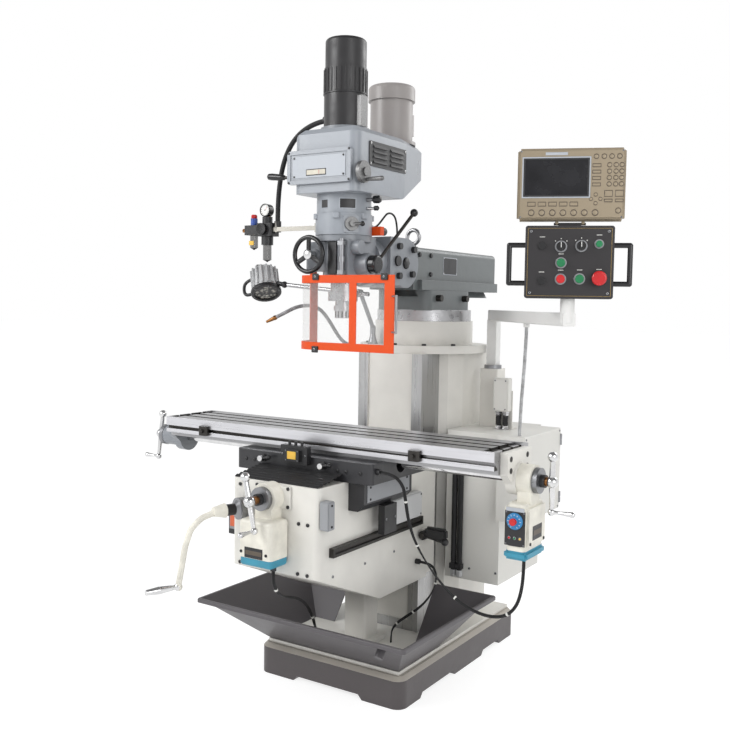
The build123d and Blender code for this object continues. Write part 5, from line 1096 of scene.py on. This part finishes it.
def knee_details():
    """Cover plates and screws on the knee and its feed, the dials' marks and the lock's grip."""
    p = Piece("knee_details")
    places = ((104, 680), (102, 517), (-140, 780), (-140, 517), (140, 680), (140, 517))
    p.screws(black_plastic, [(x, KNEE_FRONT, z) for x, z in places], FRONT, 6, 4)
    p.block(castings, (0, KNEE_FRONT - 3, 758), (150, 6, 74), 3)
    p.screws(black_plastic, grid((-64, 64), KNEE_FRONT - 6, (729, 788)), FRONT, 6, 3)
    p.screws(dull_steel, grid(KNEE_SIDE, (-690, -500, -310), 500), RIGHT, 5, 2.5)
    p.block(sheet_mid, (196, -750, 714), (36, 36, 92), 3)
    p.screws(black_plastic, grid(214, -750, (680, 748)), RIGHT, 4, 2.5)
    p.block(silver, (192.5, -276, 652), (28, 232, 92), 4)
    p.screws(black_plastic, grid(206, (-382, -170), (616, 688)), RIGHT, 3.5, 2)
    p.block(dull_steel, (-195, -752.2, 644), (28, 1, 58), 0.4)
    p.block(amber, (-195, -752.4, 644), (22, 1.6, 40), 0.5)
    p.block(black_plastic, (-3, Y_FEED_FRONT - 0.4, 588), (74, 1.6, 34), 0.6)
    p.block(key_grey, (-3, Y_FEED_FRONT - 1, 588), (66, 1, 14), 0.4)
    p.screws(black_plastic, grid((-54, 48), Y_FEED_FRONT, 588), FRONT, 5, 3)
    p.ride("knee", "black_plastic")
    for name, joint, reach, radius, body in (("y_dial_marks", "cross_screw_turn", 53.6, 38, "cross_screw"),
                                             ("z_dial_marks", "knee_crank_turn", 24, 36, "knee_crank")):
        marks = Piece(name)
        marks.ticks(black_plastic, joint_line(joint), reach, radius)
        marks.ride(body, "black_plastic")
    grip = Piece("knee_lock_grip")
    grip.block(black_plastic, (251, -129, 540), (90, 28, 40), 8)
    grip.turned(dark_steel, (198, -143, 525), FRONT, [(-3, 12), (3, 12), (5, 10)], 6)
    grip.ride("knee_lock", "black_plastic")


def saddle_details():
    p = Piece("saddle_details")
    p.block(yellow, (-14.5, SWITCH_BOX_FRONT - 0.6, 873.5), (36, 1.4, 26), 0.4)
    p.screws(dull_steel, grid((-39, 10), SWITCH_BOX_FRONT, (856.5, 887.5)), FRONT, 2.2, 1.4)
    p.screws(dull_steel, grid((-62, 33), -652.3, 873.5), FRONT, 3.2, 2)
    p.screws(black_plastic, grid((-240, -205, 150, 185, 240), -630, 835), FRONT, 6, 3)
    p.block(sheet_mid, (241, -453, 761), (2.5, 270, 58), 1)
    p.screws(black_plastic, grid(242, (-570, -336), (741, 781)), RIGHT, 4, 2.5)
    p.screws(dull_steel, grid(240, (-466, -408), 655), RIGHT, 4, 2.5)
    p.ride("saddle", "black_plastic")


def table_details():
    """The end brackets' screws and the long feed's cover, tray, panel and dials."""
    p = Piece("table_details")
    for side, y, z in grid((-1, 1), (-510, -386), (916, 880)):
        p.turned(black_plastic, (side * 712, y, z), RIGHT * side, [(-0.5, 9), (1.2, 9), (1.6, 8.4)], 20)
        p.turned(dark_steel, (side * 713, y, z), RIGHT * side, [(0, 6), (1.6, 5.4)], 6)
    p.block(case_white, (FEED_X, TABLE_Y, 710.5), (82, 151, 145), 14)
    p.block(teal, (FEED_X, TABLE_Y, 623), (78, 146, 29), 8)
    p.block(black_plastic, (FEED_X, FEED_FRONT - 0.2, 708), (67, 0.9, 108), 0.3)
    p.block(plate_silver, (FEED_X, FEED_FRONT - 0.4, 766), (60, 1, 12), 0.3)
    for x, finish in ((FEED_X - 18, red_gloss), (FEED_X, green_gloss), (FEED_X + 18, yellow)):
        p.turned(dull_steel, (x, FEED_FRONT, 678), FRONT, [(0, 5), (1.8, 5), (2.2, 4.4)], 16)
        p.turned(finish, (x, FEED_FRONT - 1.8, 678), FRONT, [(0, 3.6), (1.6, 3.4), (2.8, 2)], 14)
    p.screws(dull_steel, grid((FEED_X - 29, FEED_X + 29), FEED_FRONT - 0.5, (659, 757)), FRONT, 2.2, 1.2)
    p.block(black_plastic, (FEED_SIDE + 0.4, TABLE_Y, 690), (1.6, 70, 44), 0.6)
    p.block(key_grey, (FEED_SIDE + 1, TABLE_Y, 690), (1, 60, 16), 0.4)
    p.screws(black_plastic, grid(FEED_SIDE, (-500, -396), 660), RIGHT, 5, 3)
    p.ride("table", "feed_case")
    dial = Piece("x_feed_dial")
    hub = Vector((FEED_X, FEED_FRONT - 1, 731))
    dial.turned(dial_blue, hub, FRONT, [(0, 26), (4, 26), (6.5, 23.5), (7.5, 15)], 36)
    for out, axes in spokes(FRONT, UP, range(-150, 151, 30)):
        dial.block(gauge_white, hub + out * 20 + FRONT * 7, (1.4, 4.5, 0.6), 0.1, axes)
    dial.ride("feed_knob", "black_plastic")
    marks = Piece("x_dial_marks")
    for reach in (768.6, -809):
        marks.ticks(black_plastic, X_SCREW, reach, 40)
    marks.ride("long_screw", "black_plastic")


def ram_details():
    p = Piece("ram_details")
    p.turned(black_plastic, (RAM_SIDE - 6, -130, 1535), RIGHT, [(-0.5, 21), (13, 21), (15, 18)], 6)
    p.screws(black_plastic, [(RAM_SIDE, y, z) for y, z in ((-28, 1572), (60, 1572), (60, 1500))], RIGHT, 9, 7)
    p.block(plate_silver, (RAM_SIDE + 0.4, 222, 1537), (1.4, 116, 70), 0.5)
    p.block(black_plastic, (RAM_SIDE + 0.9, 222, 1537), (1, 110, 64), 0.4)
    for place in grid(RAM_SIDE + 1.2, (169, 275), (1507, 1567)):
        p.turned(plated, place, RIGHT, [(0, 2), (0.6, 1.8), (0.9, 1)], 10)
    p.ride("ram", "black_plastic")


def front_panel(p):
    """The bare plate, its frame of screws and the speed window on the belt housing's front."""
    p.block(plate_silver, (-15, HEAD_FRONT - 0.6, 1847.5), (222, 1.6, 74), 0.6)
    p.screws(black_plastic, grid((-118, 88), HEAD_FRONT - 1.2, (1816, 1879)), FRONT, 3.6, 2)
    p.screws(black_plastic, grid((-141, 111), HEAD_FRONT - 3, (1797, 1898)), FRONT, 4, 2.2)
    p.block(black_plastic, (-25, HEAD_FRONT - 1.6, 1828.5), (84, 1.4, 22), 0.4)
    p.block(key_cream, (-25, HEAD_FRONT - 2.2, 1828.5), (78, 1, 16), 0.3)
    p.block(red_gloss, (-12, HEAD_FRONT - 2.8, 1828.5), (1.4, 0.6, 13), 0.1)


def pressure_gauge(p):
    """The air unit's round gauge on its stem, and the knobs, drains and fittings beside it."""
    gauge = Vector((-346, -408, 1724))
    case = [(-26, 19), (-24, 23), (2.5, 24), (3.4, 22.5), (3.4, 20.4), (1, 20.2)]
    p.turned(brass, (-346, SPINDLE_Y, 1699), UP, [(0, 9), (6, 9), (7, 6), (16, 6)], 6)
    p.turned(gloss_black, gauge, FRONT, case, 28)
    p.turned(gauge_white, gauge, FRONT, [(0.6, 20), (1.4, 20), (1.6, 19.6)], 28)
    p.turned(black_plastic, gauge + FRONT * 1.4, FRONT, [(0, 2.4), (1.4, 2), (1.6, 1)], 12)
    for out, axes in spokes(FRONT, UP, range(-135, 136, 27)):
        p.block(black_plastic, gauge + out * 16.5 + FRONT * 1.7, (0.9, 4, 0.4), 0.1, axes)
    for out, axes in spokes(FRONT, UP, [NEEDLE_TURN]):
        p.block(red_gloss, gauge + out * 6 + FRONT * 2.1, (1.1, 17, 0.5), 0.1, axes)
    p.turned(red_gloss, (-410, SPINDLE_Y, 1695.5), UP, [(0, 10), (2, 11.5), (12, 11.5), (15, 8)], 18)
    inlet = [(-0.5, 11), (6, 11), (7, 8), (20, 8), (21, 6)]
    p.turned(brass, (-442, SPINDLE_Y, 1652), LEFT, inlet, 6)
    for x, low, radius in ((-346, 1540, 16), (-410, 1586, 15)):
        drain = [(-0.5, radius * 0.8), (2, radius * 0.7), (4, 5), (7, 3)]
        p.turned(black_plastic, (x, SPINDLE_Y, low), DOWN, drain, 16)
    p.block(yellow, (-410, -409.6, 1604), (22, 3, 16), 0.4)


def neck_knobs(p):
    """The brake lever at the left, and two knobs on stems at the right of the neck."""
    rod = [(-128, -470, 1823), (-160, -470, 1824), (-190, -470, 1825.5), (-214, -470, 1828)]
    p.rod(dark_steel, rod, 5.5, 12)
    grip = [(-10, 6), (-6, 9), (8, 11), (50, 12.5), (64, 11), (70, 5)]
    p.turned(gloss_black, rod[-1], Vector(rod[-1]) - Vector(rod[-2]), grip, 18)
    p.turned(dull_steel, (-132, -470, 1823), LEFT, [(-0.5, 15), (7, 15), (9, 12)], 20)
    for finish, x, z, profile, sides in (
            (dull_steel, 94, 1742, [(0, 7), (16, 7), (18, 6), (30, 6)], 14),
            (gloss_black, 122, 1742, [(0, 9), (4, 13), (22, 14), (28, 11), (30, 6)], 20),
            (plated, 94, 1712, [(0, 6), (20, 6), (22, 4.5), (34, 4.5)], 12),
            (gloss_black, 126, 1712, [(0, 5), (2, 8), (14, 8.5), (18, 5)], 16)):
        p.turned(finish, (x, SPINDLE_Y, z), RIGHT, profile, sides)


def head_details():
    p = Piece("head_details")
    front_panel(p)
    pressure_gauge(p)
    for side in (-1, 1):
        p.screws(plated, grid(side * 135.3, (-434, -207), (1860, 1928)), RIGHT * side, 4, 2.2)
    p.curved_plate(plate_silver, GEAR_R, 42, 36, 1707, 1744, 0.9)
    p.curved_plate(black_plastic, GEAR_R + 0.6, 42, 32, 1710, 1741, 0.7)
    p.curved_plate(black_plastic, GEAR_R, -10, 16, 1712, 1738, 0.9)
    p.screws(black_plastic, grid((-77, 77), -288.2, 1540), FRONT, 8, 6)
    neck_knobs(p)
    p.ride("head", "black_plastic")
    flutes = Piece("drawbar_flutes")
    for out, axes in spokes(UP, RIGHT, even(26)):
        flutes.block(drawbar_black, SPINDLE + out * 75 + UP * 2150, (9, 5, 82), 1.6, axes)
    flutes.turned(drawbar_black, SPINDLE, UP, [(2105, 74.6), (2106, 78), (2110, 78), (2111, 74.6)], 48)
    flutes.ride("head", "drawbar_black")
    wheel = Piece("feed_wheel_rim")
    middle = Vector((-70, -506, 1551))
    wheel.hoop(gloss_black, middle, FRONT, 60, 8)
    for out, axes in spokes(FRONT, RIGHT, (90, 210, 330)):
        wheel.block(gloss_black, middle + out * 34, (17, 48, 8), 3, axes)
    wheel.turned(plated, middle, FRONT, [(-4, 17), (8, 17), (11, 14), (13, 6)], 24)
    wheel.ride("feed_wheel", "black_plastic")


def quill_details():
    """The drive splines round the spindle's nose."""
    p = Piece("spindle_keys")
    for out, axes in spokes(UP, RIGHT, even(12)):
        p.block(dark_steel, SPINDLE + out * 26.6 + UP * 1344, (5, 2.4, 22), 0.5, axes)
    p.ride("spindle", "bright_steel")


def guard_details():
    p = Piece("guard_clips")
    for x, z in ((-20, 1473), (258, 1473), (-20, 1224)):
        p.block(black_plastic, (x, GUARD_FRONT - 2, z), (26, 6, 22), 1.5)
        p.screws(dull_steel, [(x, GUARD_FRONT - 5, z)], FRONT, 4, 2)
    p.ride("guard", "black_plastic")


def pendant_details():
    """The control box's gold border, corner screws and bare label strips, and the selectors' pointers."""
    p = PanelPiece("control_box_details", BOX_MIDDLE)
    half_w = 124
    half_h = 102
    for side in (-1, 1):
        p.plate(gold, (side * half_w, 0, BOX_FACE), (1.2, 2 * half_h, 0.8), 0.2)
        p.plate(gold, (0, side * half_h, BOX_FACE), (2 * half_w, 1.2, 0.8), 0.2)
    corners = [p.spot(*place) for place in grid((-115, 115), (-93, 93), BOX_FACE)]
    p.screws(dull_steel, corners, PANEL_OUT, 4, 2)
    for name, u, w in SELECTORS:
        for angle in (-45, 0, 45):
            turn = math.radians(angle)
            place = (u + 24 * math.sin(turn), w + 24 * math.cos(turn), BOX_FACE)
            p.plate(tie_white, place, (3, 3, 0.6), 0.1)
    for u, w in ((-24, -51), (-24, -2), (32, -50), (87, 55), (89, -48), (-81, 49), (-81, -57)):
        p.plate(tie_white, (u, w + 27, BOX_FACE), (16, 2, 0.6), 0.1)
    p.ride("pendant", "panel_black")
    for side, u, w in SELECTORS:
        mark = PanelPiece(f"selector_pointer_{side}", BOX_MIDDLE)
        mark.plate(gauge_white, (u, w + 4, BOX_FACE + 26.3), (2, 16, 0.7), 0.2)
        mark.ride(f"selector_{side}", "arm_paint")


def readout_unit():
    """The digital readout: its case, recessed screen and rows of keys."""
    r = PanelPiece("readout_case", READOUT_MIDDLE)

    def round_key(u, w, radius):
        place = r.spot(u, w, READOUT_FACE)
        seat = [(-0.5, radius), (0.6, radius), (0.9, radius - 0.4)]
        cap = [(0, radius * 0.74), (1.4, radius * 0.72), (1.9, radius * 0.5)]
        r.turned(key_grey, place, PANEL_OUT, seat, 20)
        r.turned(champagne, place, PANEL_OUT, cap, 20)

    def flat_key(u, w, wide, tall):
        r.plate(key_grey, (u, w, READOUT_FACE + 0.2), (wide, tall, 1.2), 0.4)
        r.plate(champagne, (u, w, READOUT_FACE + 0.8), (wide - 4, tall - 4, 1.6), 0.5)

    r.plate(champagne, (0, 0, -5), (322, 220, 42), 9)
    r.plate(champagne, (0, 0, 18), (314, 212, 16), 5)
    r.plate(black_plastic, (0, 0, -27.5), (300, 198, 4), 1.5)
    r.plate(plate_silver, (-45, 20, READOUT_FACE + 0.4), (204, 124, 1.6), 0.6)
    r.plate(black_plastic, (-45, 20, READOUT_FACE + 0.9), (196, 116, 1.6), 0.6)
    r.plate(display, (-45, 20, READOUT_FACE + 1.5), (186, 106, 0.8), 0.2)
    r.plate(plate_silver, (-45, 91, READOUT_FACE + 0.2), (66, 9, 1), 0.3)
    for u in (-39.3, 39.3):
        r.plate(champagne, (u, -113, 0), (10, 16, 13), 2)
    for u in (71.6, 94.5, 117, 139.7):
        round_key(u, 81.5, 8)
    for u, w in grid((111, 130, 147), (56, 37, 18, -1)):
        round_key(u, w, 7.5)
    for w in (55, 36, 17, -2):
        flat_key(74, w, 26, 11)
    for u in (110, 142):
        flat_key(u, -29, 25, 20)
        flat_key(u, -50, 25, 10)
    for u, w in ((73, -32), (73, -58), (59, -45), (87, -45)):
        round_key(u, w, 6)
    for step in range(7):
        round_key(-117 + 31.6 * step, -86, 10)
    for step in range(5):
        flat_key(-117 + 31.6 * step, -60, 25, 14)
    round_key(140, -80, 9)
    corners = [r.spot(*place) for place in grid((-150, 150), (-99, 99), READOUT_FACE)]
    r.screws(dull_steel, corners, PANEL_OUT, 2.6, 1.2)
    piece = r.ride("readout", "readout_case")
    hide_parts("dro_unit")


place_camera()
light_stage()
lay_cords()
coolant_line()
way_cover()
dress_plain()
dress_frame()
dress_knee()
dress_table()
dress_head()
dress_pendant()
frame_details()
door_details()
lamp_details()
knee_details()
saddle_details()
table_details()
ram_details()
head_details()
quill_details()
guard_details()
pendant_details()
readout_unit()
